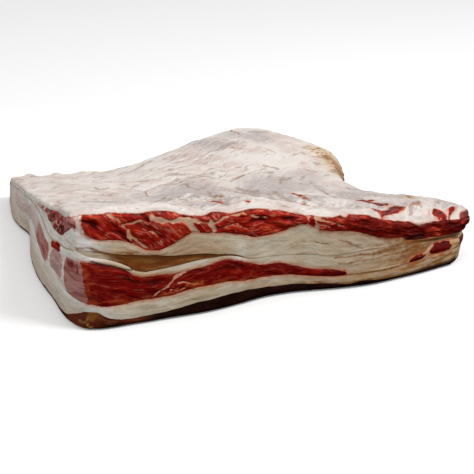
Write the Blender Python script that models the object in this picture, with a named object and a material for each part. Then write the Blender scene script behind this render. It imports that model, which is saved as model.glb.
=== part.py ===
"""Boneless beef short plate: one thick slab of fat and lean strata, lying flat on its outer side.

Metres, +Z up. The long cut face looks along -Y and the short cut face along -X. They meet in the
near corner, where the slab is thickest. Every stratum that shows at the cuts is a solid of its own
and runs right through the slab. The origin is the middle of the slab's bounding box, at its base.
"""

import math

import bmesh
import bpy
from mathutils import Vector

# Driving dimensions.
FRONT_LENGTH = 0.42  # near corner to right corner, along the long cut face
SIDE_LENGTH = 0.365  # near corner to back-left corner, along the short cut face
CORNER_THICKNESS = 0.122  # at the near corner
GAP = 0.0003  # between neighbouring strata
PINCH = 0.00045  # extra clearance above and below the seam's recessed rim
LEAST_LAYER = 0.0018  # no stratum is thinner than this

# Grid of each stratum's two surfaces, crowded towards the rims.
SEGMENTS_U = 20
SEGMENTS_V = 12
CROWDING = 0.07

# Plan outline, from the near corner (0, 0), as shares of FRONT_LENGTH and SIDE_LENGTH.
FRONT_EDGE = [(0, 0), (0.12, -0.016), (0.30, -0.034), (0.50, -0.004), (0.72, -0.036), (0.90, -0.018),
              (1.03, 0.01)]
RIGHT_EDGE = [(1.03, 0.01), (1.065, 0.09), (1.02, 0.19), (0.915, 0.32), (0.885, 0.47), (0.93, 0.65),
              (0.885, 0.84), (0.83, 1.02)]
BACK_EDGE = [(-0.03, 1.0), (0.12, 0.995), (0.26, 0.965), (0.41, 1.0), (0.56, 1.06), (0.72, 1.10),
             (0.83, 1.02)]
LEFT_EDGE = [(0, 0), (-0.011, 0.33), (-0.021, 0.66), (-0.03, 1.0)]

# Height of the top along each edge, as (share of the edge, share of CORNER_THICKNESS).
TOP_FRONT = [(0, 0.995), (0.05, 1.0), (0.16, 0.965), (0.29, 0.89), (0.44, 0.845), (0.53, 0.75), (0.62, 0.70),
             (0.72, 0.645), (0.82, 0.56), (0.91, 0.51), (1, 0.46)]
TOP_BACK = [(0, 0.27), (0.25, 0.25), (0.45, 0.29), (0.65, 0.355), (0.85, 0.43), (1, 0.42)]
TOP_LEFT = [(0, 0.995), (0.14, 0.895), (0.27, 0.765), (0.50, 0.595), (0.75, 0.43), (1, 0.27)]
TOP_RIGHT = [(0, 0.46), (0.10, 0.48), (0.22, 0.445), (0.38, 0.405), (0.55, 0.42), (0.72, 0.47),
             (0.88, 0.46), (1, 0.42)]
MOUND = 0.004  # the far end's swell, over the Coons surface
SHOULDER = 0.016  # width of the rounded shoulder along the back and right rims
SHOULDER_DROP = 0.28  # how much of the height the shoulder loses at the rim

# Lift of the underside's rim off the table.
LIFT_NEAR = 0.002  # along the two cut faces
LIFT_FAR = 0.006  # along the back, and at the far end of the right side
LIFT_WIDTH = 0.03
# How far the lowest rim is tucked in, along the front, from the near corner to the right.
UNDERCUT = [(0, 0.0), (0.08, 0.001), (0.30, 0.004), (1, 0.004)]

# Upper surface of each stratum, from the table up. "front" and "left": heights in millimetres up
# the two cut faces, at FRONT_STATIONS and LEFT_STATIONS. "back": shares of the height along the
# back edge, at its ends and middle.
FRONT_STATIONS = (0, 0.05, 0.10, 0.16, 0.22, 0.29, 0.36, 0.44, 0.53, 0.62, 0.72, 0.82, 0.91, 1)
LEFT_STATIONS = (0, 0.12, 0.25, 0.40, 0.55, 0.75, 1)
STRATA = [
    {"name": "flank_muscle", "colour": (0.10, 0.03, 0.015), "rough": 0.45,
     "front": (21, 16, 9.3, 9, 11.5, 15, 16, 14, 11.5, 8.8, 7, 5.5, 4.5, 6),
     "left": (21, 6, 5, 4.5, 4, 3.5, 3.2),
     "back": (0.10, 0.10, 0.12)},
    {"name": "outer_fat", "colour": (0.78, 0.72, 0.62), "rough": 0.4,
     "front": (30, 26.5, 24.5, 26.2, 27.5, 31.5, 29, 26, 22, 17.3, 16, 17.8, 20.3, 19),
     "left": (30, 33, 31, 35, 40, 31, 19.5),
     "back": (0.60, 0.32, 0.30)},
    {"name": "lower_lean", "colour": (0.42, 0.02, 0.012), "rough": 0.35,
     "front": (72, 67.5, 60.5, 50, 49.7, 52.5, 53, 41.5, 31.5, 24, 18.5, 22.5, 31, 28),
     "left": (72, 58, 50, 59, 55, 42, 25.5),
     "back": (0.78, 0.52, 0.50)},
    {"name": "inner_fat", "colour": (0.78, 0.72, 0.62), "rough": 0.4,
     "front": (83, 74, 66, 54.5, 56, 58.5, 56, 46.2, 43.5, 40.5, 41.5, 39.5, 34.5, 30.5),
     "left": (83, 71, 60, 63, 59, 45, 26.7),
     "back": (0.82, 0.57, 0.55)},
    {"name": "seam_tissue", "colour": (0.42, 0.24, 0.09), "rough": 0.5,
     "front": (85, 80.5, 75.5, 72, 68, 65.5, 59, 48.5, 45.7, 42.7, 43.7, 41.8, 38, 34.5),
     "left": (85, 73.5, 62.5, 65, 61, 47, 28),
     "back": (0.86, 0.61, 0.60)},
    {"name": "middle_fat", "colour": (0.80, 0.75, 0.66), "rough": 0.4,
     "front": (106, 92.5, 90, 77.5, 81, 88, 81, 71, 77, 66, 57, 45, 40.5, 37),
     "left": (106, 87, 83, 74, 64, 49, 29.3),
     "back": (0.90, 0.74, 0.72)},
    {"name": "upper_lean", "colour": (0.45, 0.025, 0.015), "rough": 0.35,
     "front": (117, 119, 117, 115.2, 112, 106, 103.5, 100.5, 88, 83.5, 76.5, 65.5, 58.5, 52),
     "left": (117, 103, 92, 79, 67, 51, 30.6),
     "back": (0.945, 0.93, 0.92)},
    {"name": "fat_cap", "colour": (0.82, 0.76, 0.70), "rough": 0.45},
]
SEAM = "seam_tissue"
# How far the seam lies back from the long cut: a cleft on the left and an open mouth at the right.
SEAM_RECESS = [(0, 0.0), (0.05, 0.002), (0.13, 0.007), (0.25, 0.006), (0.38, 0.003), (0.50, 0.0),
               (0.80, 0.0), (0.90, 0.009), (1, 0.012)]
MOUTH_LENGTH = 0.16  # share of the right edge over which the mouth closes again
BULGE = {"lower_lean": 0.0015, "upper_lean": 0.002, "middle_fat": 0.0015, "outer_fat": 0.0015}
# How far the foot of each cut face spreads past its top edge.
LEFT_FOOT = [(0, -0.005), (0.03, 0.003), (0.07, 0.008), (0.19, 0.011), (0.33, 0.0145), (0.49, 0.0115),
             (0.66, 0.001), (0.76, 0.0075), (0.85, 0.0085), (1, 0.002)]
FRONT_FOOT = [(0, 0.004), (0.05, 0.007), (0.14, 0.004), (0.25, 0.0), (1, 0.0)]
SETBACK = 0.005  # how far the long cut face's top edge leans back
OVERHANG = 0.005  # how far the right corner's top stands out, and its foot in
OVERHANG_LENGTH = 0.35  # share of the right edge over which that fades
RIM_STEP = 0.02


def between(pairs, t):
    """Smooth curve through (parameter, value) pairs, which may hold numbers or vectors."""
    last = len(pairs) - 1
    i = max(k for k in range(last) if pairs[k][0] <= t or k == 0)
    (t0, p0), (t1, p1) = pairs[i], pairs[i + 1]
    before = pairs[max(i - 1, 0)]
    after = pairs[min(i + 2, last)]
    span = t1 - t0
    slope0 = (p1 - before[1]) / (t1 - before[0])
    slope1 = (after[1] - p0) / (after[0] - t0)
    s = (t - t0) / span
    return (
        p0 * (2 * s**3 - 3 * s**2 + 1)
        + slope0 * span * (s**3 - 2 * s**2 + s)
        + p1 * (3 * s**2 - 2 * s**3)
        + slope1 * span * (s**3 - s**2)
    )


def edge_curve(points):
    """An outline edge as (parameter, Vector) pairs, the parameter running with its length."""
    placed = [Vector((x * FRONT_LENGTH, y * SIDE_LENGTH)) for x, y in points]
    run = [0.0]
    for a, b in zip(placed, placed[1:]):
        run.append(run[-1] + (b - a).length)
    return [(r / run[-1], p) for r, p in zip(run, placed)]


FRONT, RIGHT, BACK, LEFT = (edge_curve(e) for e in (FRONT_EDGE, RIGHT_EDGE, BACK_EDGE, LEFT_EDGE))


def coons(front, right, back, left, u, v):
    """Surface spanned between four edge curves that meet at the corners."""
    along = between(front, u) * (1 - v) + between(back, u) * v
    across = between(left, v) * (1 - u) + between(right, v) * u
    near = front[0][1] * (1 - u) + front[-1][1] * u
    far = back[0][1] * (1 - u) + back[-1][1] * u
    return along + across - (near * (1 - v) + far * v)


def smooth(x):
    x = min(max(x, 0.0), 1.0)
    return x * x * (3 - 2 * x)


def bell(x):
    return math.exp(-x * x)


def plan(u, v):
    return coons(FRONT, RIGHT, BACK, LEFT, u, v)


def top_height(u, v):
    """The slab's upper surface, with its rounded shoulders along the back and the right."""
    height = coons(TOP_FRONT, TOP_RIGHT, TOP_BACK, TOP_LEFT, u, v) * CORNER_THICKNESS
    height += MOUND * bell((u - 0.72) / 0.22) * bell((v - 0.78) / 0.22)
    to_right = (1 - u) * FRONT_LENGTH / SHOULDER
    to_back = (1 - v) * SIDE_LENGTH / SHOULDER
    nearness = max(0.0, 1 - to_right) ** 2 * smooth(v / 0.15) + max(0.0, 1 - to_back) ** 2
    return height * (1 - SHOULDER_DROP * min(nearness, 1.0))


def base_height(u, v):
    """The underside: flat on the table, its rim lifted a little."""
    lifts = (
        (v * SIDE_LENGTH, LIFT_NEAR),
        (u * FRONT_LENGTH, LIFT_NEAR),
        ((1 - v) * SIDE_LENGTH, LIFT_FAR),
        ((1 - u) * FRONT_LENGTH, LIFT_NEAR + (LIFT_FAR - LIFT_NEAR) * v),
    )
    return max(lift * max(0.0, 1 - reach / LIFT_WIDTH) ** 2 for reach, lift in lifts)


def share_curves(layer):
    """A stratum's upper surface along the four edges, as shares of the slab's thickness."""

    def share(u, v, height):
        low, high = base_height(u, v), top_height(u, v)
        return (height / 1000 - low) / (high - low)

    front = [(u, share(u, 0, height)) for u, height in zip(FRONT_STATIONS, layer["front"])]
    left = [(v, share(0, v, height)) for v, height in zip(LEFT_STATIONS, layer["left"])]
    near, middle, far = layer["back"]
    back = [(0, left[-1][1]), (0.1, near), (0.5, middle), (1, far)]
    right = [(0, front[-1][1]), (0.5, (front[-1][1] + far) / 2), (1, far)]
    return front, right, back, left


SHARES = [share_curves(layer) for layer in STRATA[:-1]]


def levels(u, v):
    """Heights of all the surfaces at one place, from the underside to the top."""
    low, high = base_height(u, v), top_height(u, v)
    found = [low] + [low + (high - low) * coons(*curves, u, v) for curves in SHARES] + [high]
    for i in range(1, len(found)):
        found[i] = max(found[i], found[i - 1] + LEAST_LAYER)
    found[-1] = high
    for i in range(len(found) - 2, 0, -1):
        found[i] = min(found[i], found[i + 1] - LEAST_LAYER)
    return found


def outward(u, v, du, dv):
    """Unit vector out of the outline at a rim point, along the grid line that ends there."""
    return (plan(u, v) - plan(u - du * RIM_STEP, v - dv * RIM_STEP)).normalized()


def rim_offset(u, v, height, tuck):
    """How far, as a vector, the wall stands out of the plan outline at this height."""
    rise = smooth(height / top_height(u, v))
    offset = Vector((0.0, 0.0))
    if v <= 0:
        offset += outward(u, v, 0, -1) * (between(FRONT_FOOT, u) * (1 - rise) - SETBACK * rise - tuck)
    if v >= 1:
        offset += outward(u, v, 0, 1) * -tuck
    if u <= 0:
        offset += outward(u, v, -1, 0) * between(LEFT_FOOT, v) * (1 - rise)
    if u >= 1:
        spread = OVERHANG * (2 * rise - 1) * (1 - smooth(v / OVERHANG_LENGTH))
        offset += outward(u, v, 1, 0) * (spread - tuck)
    return offset


def crowd(t):
    """Draws the grid lines towards both rims."""
    return t - CROWDING * math.sin(2 * math.pi * t)


def place(index, u, v, rise):
    """A stratum's vertex, rise running from its lower surface at 0 to its upper one at 1."""
    heights = levels(u, v)
    low = heights[index] + (GAP if index else 0.0)
    height = low + (heights[index + 1] - low) * rise
    swell = 4 * rise * (1 - rise) * BULGE.get(STRATA[index]["name"], 0.0)
    undercut = between(UNDERCUT, u) if index == 0 and rise == 0 else 0.0
    spot = plan(u, v) + rim_offset(u, v, height, undercut - swell)
    return Vector((spot.x, spot.y, height))


def place_recessed(index, u, v, rise):
    """The same for the seam, whose rim is drawn back, and thinned, where the slab gapes at the cuts."""
    next_u, next_v = crowd(1 - 1 / SEGMENTS_U), crowd(1 / SEGMENTS_V)
    back_u = back_v = 0.0
    if v <= 0:
        back_v = between(SEAM_RECESS, u) / SIDE_LENGTH / next_v
    if u >= 1:
        back_u = SEAM_RECESS[-1][1] / FRONT_LENGTH * (1 - smooth(v / MOUTH_LENGTH)) / (1 - next_u)
    if max(back_u, back_v) <= 0:
        return place(index, u, v, rise)
    outer = place(index, u, v, rise).lerp(place(index, u, next_v, rise), back_v)
    inner = place(index, next_u, v, rise).lerp(place(index, next_u, next_v, rise), back_v)
    spot = outer.lerp(inner, back_u)
    spot.z += PINCH * (1 - 2 * rise)
    return spot


def material(layer):
    made = bpy.data.materials.new(layer["name"])
    made.use_nodes = True
    shader = made.node_tree.nodes["Principled BSDF"]
    shader.inputs["Base Color"].default_value = (*layer["colour"], 1.0)
    shader.inputs["Roughness"].default_value = layer["rough"]
    shader.inputs["Metallic"].default_value = 0.0
    return made


def stratum(index, collection):
    """One layer: a grid laid on its lower surface, extruded up to its upper one."""
    layer = STRATA[index]
    put = place_recessed if layer["name"] == SEAM else place
    bm = bmesh.new()
    u_of = bm.verts.layers.float.new("u")
    v_of = bm.verts.layers.float.new("v")
    bmesh.ops.create_grid(bm, x_segments=SEGMENTS_U, y_segments=SEGMENTS_V, size=0.5)
    for vert in bm.verts:
        vert[u_of] = min(max(crowd(round(vert.co.x + 0.5, 6)), 0.0), 1.0)
        vert[v_of] = min(max(crowd(round(vert.co.y + 0.5, 6)), 0.0), 1.0)
        vert.co = put(index, vert[u_of], vert[v_of], 0.0)
    rows = 2 if layer["name"] in BULGE else 1
    sheet = bm.faces[:]
    for row in range(1, rows + 1):
        made = bmesh.ops.extrude_face_region(bm, geom=sheet)["geom"]
        if row > 1:
            bmesh.ops.delete(bm, geom=sheet, context="FACES")
        sheet = [item for item in made if isinstance(item, bmesh.types.BMFace)]
        for vert in (item for item in made if isinstance(item, bmesh.types.BMVert)):
            vert.co = put(index, vert[u_of], vert[v_of], row / rows)
    bmesh.ops.recalc_face_normals(bm, faces=bm.faces[:])
    mesh = bpy.data.meshes.new(layer["name"])
    bm.to_mesh(mesh)
    bm.free()
    mesh.materials.append(material(layer))
    mesh.shade_smooth()
    mesh.set_sharp_from_angle(angle=math.radians(40))
    obj = bpy.data.objects.new(layer["name"], mesh)
    collection.objects.link(obj)
    return obj


def centre_over_origin(objects):
    """Moves the slab so that the middle of its bounding box is over the origin."""
    spots = [v.co for obj in objects for v in obj.data.vertices]
    middle = Vector((
        (min(p.x for p in spots) + max(p.x for p in spots)) / 2,
        (min(p.y for p in spots) + max(p.y for p in spots)) / 2,
        0.0,
    ))
    for obj in objects:
        for vertex in obj.data.vertices:
            vertex.co -= middle


def main():
    for obj in list(bpy.data.objects):
        bpy.data.objects.remove(obj)
    collection = bpy.data.collections.new("beef_short_plate")
    bpy.context.scene.collection.children.link(collection)
    objects = [stratum(index, collection) for index in range(len(STRATA))]
    centre_over_origin(objects)


main()
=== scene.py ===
"""Looks of the boneless beef short plate: strata of fat and lean at the cuts, and a creased fat cap.

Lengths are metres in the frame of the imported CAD, and millimetres where a comment says so. The slab's
own coordinates are u, from 0 at the near corner to 1 at the far end of the long cut face, and v, from
0 to 1 along the short one. The long cut is the front and the short one is the left.
"""

import math
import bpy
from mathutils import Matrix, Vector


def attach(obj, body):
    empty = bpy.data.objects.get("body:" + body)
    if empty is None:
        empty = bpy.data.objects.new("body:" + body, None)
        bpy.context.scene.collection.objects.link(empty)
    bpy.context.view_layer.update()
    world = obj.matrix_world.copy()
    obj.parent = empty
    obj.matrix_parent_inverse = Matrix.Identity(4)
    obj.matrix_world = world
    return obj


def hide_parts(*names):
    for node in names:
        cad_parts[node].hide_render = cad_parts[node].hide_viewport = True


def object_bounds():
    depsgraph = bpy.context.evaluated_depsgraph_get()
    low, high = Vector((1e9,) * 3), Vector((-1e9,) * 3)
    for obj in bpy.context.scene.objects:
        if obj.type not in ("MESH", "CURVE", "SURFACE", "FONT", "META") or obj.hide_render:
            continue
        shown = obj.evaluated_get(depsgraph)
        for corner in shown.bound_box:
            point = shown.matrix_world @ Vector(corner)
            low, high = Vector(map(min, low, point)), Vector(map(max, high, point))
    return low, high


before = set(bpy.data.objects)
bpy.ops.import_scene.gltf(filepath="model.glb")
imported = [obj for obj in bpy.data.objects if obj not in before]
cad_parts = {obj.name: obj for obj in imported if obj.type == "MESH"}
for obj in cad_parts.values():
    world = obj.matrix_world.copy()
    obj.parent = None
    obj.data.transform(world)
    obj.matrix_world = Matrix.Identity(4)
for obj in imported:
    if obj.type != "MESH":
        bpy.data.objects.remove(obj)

from types import SimpleNamespace

import bpy
import numpy as np
from mathutils import Vector
from mathutils.geometry import delaunay_2d_cdt

CAD_BOX = [list(corner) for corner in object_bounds()]
MM = 0.001

# ---- The slab's form, as the CAD has it ----

NEAR_CORNER = np.array(CAD_BOX[0][:2]) + (0.01944, 0.01406)  # where u and v are 0
FRONT_LENGTH, SIDE_LENGTH = 0.42, 0.365
SIDES = (FRONT_LENGTH, SIDE_LENGTH)
CORNER_THICKNESS = 0.122
# The outline, as shares of the two lengths.
FRONT_EDGE = [(0, 0), (0.12, -0.016), (0.30, -0.034), (0.50, -0.004), (0.72, -0.036), (0.90, -0.018),
              (1.03, 0.01)]
RIGHT_EDGE = [(1.03, 0.01), (1.065, 0.09), (1.02, 0.19), (0.915, 0.32), (0.885, 0.47), (0.93, 0.65),
              (0.885, 0.84), (0.83, 1.02)]
BACK_EDGE = [(-0.03, 1.0), (0.12, 0.995), (0.26, 0.965), (0.41, 1.0), (0.56, 1.06), (0.72, 1.10),
             (0.83, 1.02)]
LEFT_EDGE = [(0, 0), (-0.011, 0.33), (-0.021, 0.66), (-0.03, 1.0)]

# Height of the top along each edge, in shares of CORNER_THICKNESS.
TOP_FRONT = [(0, 0.995), (0.05, 1.0), (0.16, 0.965), (0.29, 0.89), (0.44, 0.845), (0.53, 0.75),
             (0.60, 0.705), (0.655, 0.706), (0.70, 0.68), (0.74, 0.63), (0.82, 0.56), (0.91, 0.51),
             (1, 0.46)]
TOP_BACK = [(0, 0.27), (0.25, 0.25), (0.45, 0.29), (0.65, 0.355), (0.85, 0.43), (1, 0.42)]
TOP_LEFT = [(0, 0.995), (0.14, 0.895), (0.27, 0.765), (0.50, 0.595), (0.75, 0.43), (1, 0.27)]
TOP_RIGHT = [(0, 0.46), (0.10, 0.48), (0.22, 0.445), (0.38, 0.405), (0.55, 0.42), (0.72, 0.47),
             (0.88, 0.46), (1, 0.42)]
# Millimetres by which the cap's rim, and the lean below it, rise in humps along the long cut.
RIM_HUMPS = [(0, 0), (0.07, 0), (0.116, 2.8), (0.149, 1.2), (0.198, 6.0), (0.267, 0.5), (0.288, 1.0),
             (0.319, 6.2), (0.356, -1.0), (0.405, 1.7), (0.458, -2.4), (0.495, 0), (0.56, 0), (1, 0)]
MOUND_HEIGHT, MOUND_PLACE, MOUND_HALF = 0.004, (0.72, 0.78), 0.22
SHOULDER, SHOULDER_DROP = 0.016, 0.28  # how wide the rounded right and back edges are, and their drop
KNUCKLE_PLACE, KNUCKLE_HALF, KNUCKLE_SHARE = 0.72, 0.13, 0.75  # where the right shoulder keeps its height
LIFT_NEAR, LIFT_FAR, LIFT_WIDTH = 0.002, 0.006, 0.03  # of the underside's rim
# How far the walls' feet stand out or are drawn in, by u or v.
UNDERCUT = [(0, 0.001), (0.08, 0.002), (0.30, 0.004), (1, 0.004)]
UNDERCUT_HEIGHT = 0.006
LEFT_FOOT = [(0, -0.005), (0.03, 0.003), (0.07, 0.008), (0.19, 0.011), (0.33, 0.0145), (0.49, 0.0115),
             (0.66, 0.001), (0.76, 0.0075), (0.85, 0.0085), (1, 0.002)]
FRONT_FOOT = [(0, 0.004), (0.05, 0.007), (0.14, 0.004), (0.25, 0.0), (1, 0.0)]
SETBACK = 0.005  # of the long cut's upper edge
OVERHANG, OVERHANG_LENGTH = 0.005, 0.35  # of the thin end, up to a share of its length
RIM_STEP = 0.02  # over which a wall's outward direction is measured
LEAST_LAYER = 0.001
SPARE = 2.5 * MM  # how far the surfaces hidden under the cap keep below its relief
UNDERSIDE_BUMPS = 0.4 * MM
CLEARANCE = 0.00003  # half the gap between neighbouring strata, too fine to see

NAMES = ["flank_muscle", "outer_fat", "lower_lean", "inner_fat", "seam_tissue", "middle_fat", "upper_lean",
         "fat_cap"]
FLANK, OUTER, LOWER, INNER, SEAM, MIDDLE, UPPER, CAP = range(len(NAMES))
# Upper border of each stratum below the cap: height in millimetres along the long cut face and the
# short one, and share of the height at the near end, the middle and the far end of the back.
FRONT_BORDERS = [
    [(0, 21), (0.036, 19), (0.06, 13.3), (0.09, 9.7), (0.13, 8.7), (0.215, 11.6), (0.275, 14.7),
     (0.34, 16.2), (0.40, 15.4), (0.455, 13.5), (0.53, 11.5), (0.61, 9.1), (0.66, 6.7), (0.69, 8.2),
     (0.76, 5.4), (0.82, 4.7), (0.91, 4), (1, 5.6)],
    [(0, 30), (0.065, 24.5), (0.13, 26.2), (0.205, 26.2), (0.245, 29.2), (0.29, 31.5), (0.34, 30.4),
     (0.405, 26.5), (0.505, 23.4), (0.565, 19.3), (0.655, 16.5), (0.795, 15.9), (0.85, 17.7), (0.89, 20.3),
     (0.935, 19.8), (1, 19)],
    [(0, 72), (0.036, 69.4), (0.07, 65.5), (0.11, 59), (0.13, 52.3), (0.163, 50), (0.225, 49.7),
     (0.28, 51.7), (0.345, 54.6), (0.39, 47.6), (0.45, 39), (0.49, 37.5), (0.535, 31), (0.565, 27.5),
     (0.61, 25), (0.66, 21), (0.72, 19.5), (0.795, 19.7), (0.83, 24), (0.872, 25.7), (0.89, 31),
     (0.93, 31.4), (1, 28)],
    [(0, 83), (0.03, 76), (0.07, 72), (0.11, 64), (0.14, 55), (0.18, 55), (0.22, 56.5), (0.28, 59.5),
     (0.33, 59), (0.37, 55.8), (0.415, 48), (0.56, 43.4), (0.63, 39.6), (0.72, 42), (0.79, 40.9),
     (0.87, 36.3), (0.93, 33.1), (1, 29.5)],
    [(0, 84.5), (0.05, 81), (0.10, 75.5), (0.165, 71.5), (0.22, 68), (0.28, 66.5), (0.34, 61), (0.37, 57.5),
     (0.415, 49.5), (0.56, 46), (0.63, 42), (0.72, 44.3), (0.79, 43), (0.87, 39.7), (0.93, 37), (1, 33.5)],
    [(0, 106), (0.025, 99), (0.05, 92.5), (0.10, 90), (0.135, 83.5), (0.155, 78), (0.185, 76), (0.21, 78.5),
     (0.25, 87), (0.268, 90), (0.29, 87.5), (0.34, 83.5), (0.39, 76.5), (0.42, 71.5), (0.455, 70.5),
     (0.50, 72), (0.533, 77), (0.56, 74), (0.585, 69), (0.61, 66.5), (0.655, 65.5), (0.69, 61.5),
     (0.725, 56), (0.76, 51), (0.80, 49), (0.82, 44.5), (0.85, 42), (0.89, 41), (0.93, 38.8), (1, 35)],
    [(0, 116), (0.03, 118.5), (0.06, 119.2), (0.09, 117), (0.14, 117), (0.163, 114), (0.18, 116),
     (0.21, 115.5), (0.225, 112), (0.26, 107), (0.29, 106), (0.32, 108), (0.34, 107), (0.36, 103),
     (0.41, 104.3), (0.44, 101), (0.50, 92), (0.53, 87.5), (0.58, 84.6), (0.63, 83), (0.645, 80.5),
     (0.66, 84.5), (0.69, 82), (0.75, 71.5), (0.80, 68), (0.83, 62), (0.85, 58), (0.91, 58.5), (1, 51.5)],
]
LEFT_BORDERS = [
    [(0, 21), (0.03, 14), (0.06, 8), (0.12, 5.5), (0.25, 4.5), (0.40, 4), (0.75, 3.5), (1, 3.2)],
    [(0, 30), (0.07, 33), (0.12, 37), (0.20, 35), (0.26, 31), (0.40, 35), (0.52, 40), (0.62, 32), (0.75, 24),
     (1, 17)],
    [(0, 72), (0.07, 69), (0.12, 63), (0.20, 57), (0.28, 52), (0.40, 55), (0.52, 56), (0.65, 44), (0.80, 38),
     (1, 25.5)],
    [(0, 83), (0.12, 71), (0.25, 60), (0.40, 62), (0.55, 59), (0.75, 45), (1, 26.7)],
    [(0, 84.5), (0.12, 73), (0.25, 62), (0.40, 64), (0.55, 60.5), (0.75, 46.5), (1, 28)],
    [(0, 106), (0.08, 92), (0.12, 83), (0.20, 76), (0.30, 75), (0.40, 72), (0.55, 64), (0.75, 49),
     (1, 29.3)],
    [(0, 117), (0.12, 104), (0.25, 95), (0.33, 85), (0.40, 80.5), (0.55, 67), (0.75, 51), (1, 30.6)],
]
BACK_BORDERS = [
    (0.10, 0.10, 0.12), (0.60, 0.32, 0.30), (0.78, 0.52, 0.50), (0.82, 0.57, 0.55), (0.86, 0.61, 0.60),
    (0.90, 0.74, 0.72), (0.945, 0.93, 0.92),
]
# How far the seam lies back from the long cut: a cleft on the left and an open mouth at the right.
SEAM_RECESS = [(0, 0.0), (0.05, 0.001), (0.13, 0.003), (0.25, 0.0025), (0.36, 0.0005), (0.42, 0.0),
               (0.80, 0.0), (0.90, 0.003), (1, 0.004)]
MOUTH_LENGTH = 0.16  # share of the short side
MOUTH_DEPTH, MOUTH_HEIGHT, MOUTH_HALF = 0.007, 0.0325, 0.0045
FADE_DEPTH = 0.03  # a wall's slant is gone this far inside the slab
CORNER_RADII = (0.0035, 0.013, 0.018, 0.004)  # near, right, far right and back-left corners
BEVEL, BEVEL_DEPTH = 0.0035, 0.008  # how far, and how far down, the cap's edge leans back at the front
EDGE_RADIUS = 0.0034  # of the cap's upper edge

# Fineness of the visible surfaces.
SPACING = 0.00145
RIM_SPACINGS = (0.00035, 0.0005, 0.0007, 0.0009, 0.0011)
WALL_ROWS = [12, 20, 32, 16, 14, 20, 32, 9]


def wide(value, like):
    """Per-point numbers, shaped to scale per-point vectors."""
    return value[:, None] if np.ndim(like) == 2 else value


def between(pairs, t):
    """Smooth curve through (parameter, value) pairs; the values may be numbers or points."""
    at = np.array([pair[0] for pair in pairs], float)
    value = np.array([pair[1] for pair in pairs], float)
    t = np.clip(np.asarray(t, float), at[0], at[-1])
    last = len(at) - 1
    i = np.clip(np.searchsorted(at, t, side="right") - 1, 0, last - 1)
    before, after = np.maximum(i - 1, 0), np.minimum(i + 2, last)
    span = wide(at[i + 1] - at[i], value)
    slope0 = (value[i + 1] - value[before]) / wide(at[i + 1] - at[before], value)
    slope1 = (value[after] - value[i]) / wide(at[after] - at[i], value)
    s = wide(t - at[i], value) / span
    return (
        value[i] * (2 * s**3 - 3 * s**2 + 1)
        + slope0 * span * (s**3 - 2 * s**2 + s)
        + value[i + 1] * (3 * s**2 - 2 * s**3)
        + slope1 * span * (s**3 - s**2)
    )


def edge_curve(points):
    """An outline edge as (parameter, point) pairs, the parameter running with its length."""
    placed = np.array(points, float) * SIDES
    run = np.concatenate([[0.0], np.cumsum(np.linalg.norm(np.diff(placed, axis=0), axis=1))])
    return list(zip(run / run[-1], placed))


OUTLINE = [edge_curve(edge) for edge in (FRONT_EDGE, RIGHT_EDGE, BACK_EDGE, LEFT_EDGE)]


def coons(front, right, back, left, u, v):
    """Surface spanned between four edge curves that meet at the corners."""
    start, end = np.asarray(front[0][1]), np.asarray(front[-1][1])
    far_start, far_end = np.asarray(back[0][1]), np.asarray(back[-1][1])
    along, across = between(front, u), between(left, v)
    pu, pv = wide(u, along), wide(v, along)
    along = along * (1 - pv) + between(back, u) * pv
    across = across * (1 - pu) + between(right, v) * pu
    near, far = start * (1 - pu) + end * pu, far_start * (1 - pu) + far_end * pu
    return along + across - (near * (1 - pv) + far * pv)


def smooth(x):
    """A smooth step from 0 at 0 to 1 at 1."""
    x = np.clip(x, 0.0, 1.0)
    return x * x * (3 - 2 * x)


def rise(x, start, width):
    """A smooth step from 0 to 1 that begins at start."""
    return smooth((x - start) / width)


def fall(x, start, width):
    """A smooth step from 1 to 0 that begins at start."""
    return 1 - smooth((x - start) / width)


def bell(x):
    """A soft bump, 1 at 0 and a third at 1."""
    return np.exp(-np.square(x))


def plan(u, v):
    """Smooth plan position, from the near corner."""
    return coons(*OUTLINE, u, v)


def reaches(u, v):
    """Distances from the front, right, back and left edges, roughly, in metres."""
    return v * SIDE_LENGTH, (1 - u) * FRONT_LENGTH, (1 - v) * SIDE_LENGTH, u * FRONT_LENGTH


def top_height(u, v):
    """The smooth top, with its mound and its rounded right and back edges."""
    height = coons(TOP_FRONT, TOP_RIGHT, TOP_BACK, TOP_LEFT, u, v) * CORNER_THICKNESS
    from_mound = np.hypot(u - MOUND_PLACE[0], v - MOUND_PLACE[1])
    height = height + MOUND_HEIGHT * bell(from_mound / MOUND_HALF)
    _, to_right, to_back, _ = reaches(u, v)
    nearness = np.maximum(0.0, 1 - to_right / SHOULDER) ** 2 * smooth(v / 0.15)
    nearness = nearness * (1 - KNUCKLE_SHARE * bell((v - KNUCKLE_PLACE) / KNUCKLE_HALF))
    nearness = nearness + np.maximum(0.0, 1 - to_back / SHOULDER) ** 2
    return height * (1 - SHOULDER_DROP * np.minimum(nearness, 1.0))


def base_height(u, v):
    """The underside: flat on the table, its rim lifted a little."""
    to_front, to_right, to_back, to_left = reaches(u, v)
    lifts = (
        (to_front, LIFT_NEAR),
        (to_left, LIFT_NEAR),
        (to_back, LIFT_FAR),
        (to_right, LIFT_NEAR + (LIFT_FAR - LIFT_NEAR) * v),
    )
    return np.max([lift * np.maximum(0.0, 1 - reach / LIFT_WIDTH) ** 2 for reach, lift in lifts], axis=0)


def share_of_height(pairs, along_u):
    """Borders given in millimetres above the table, as shares of the slab's thickness."""
    at = np.array([t for t, _ in pairs], float)
    height = np.array([h for _, h in pairs], float) * MM
    u, v = (at, 0 * at) if along_u else (0 * at, at)
    low, high = base_height(u, v), top_height(u, v)
    return list(zip(at, (height - low) / (high - low)))


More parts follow.
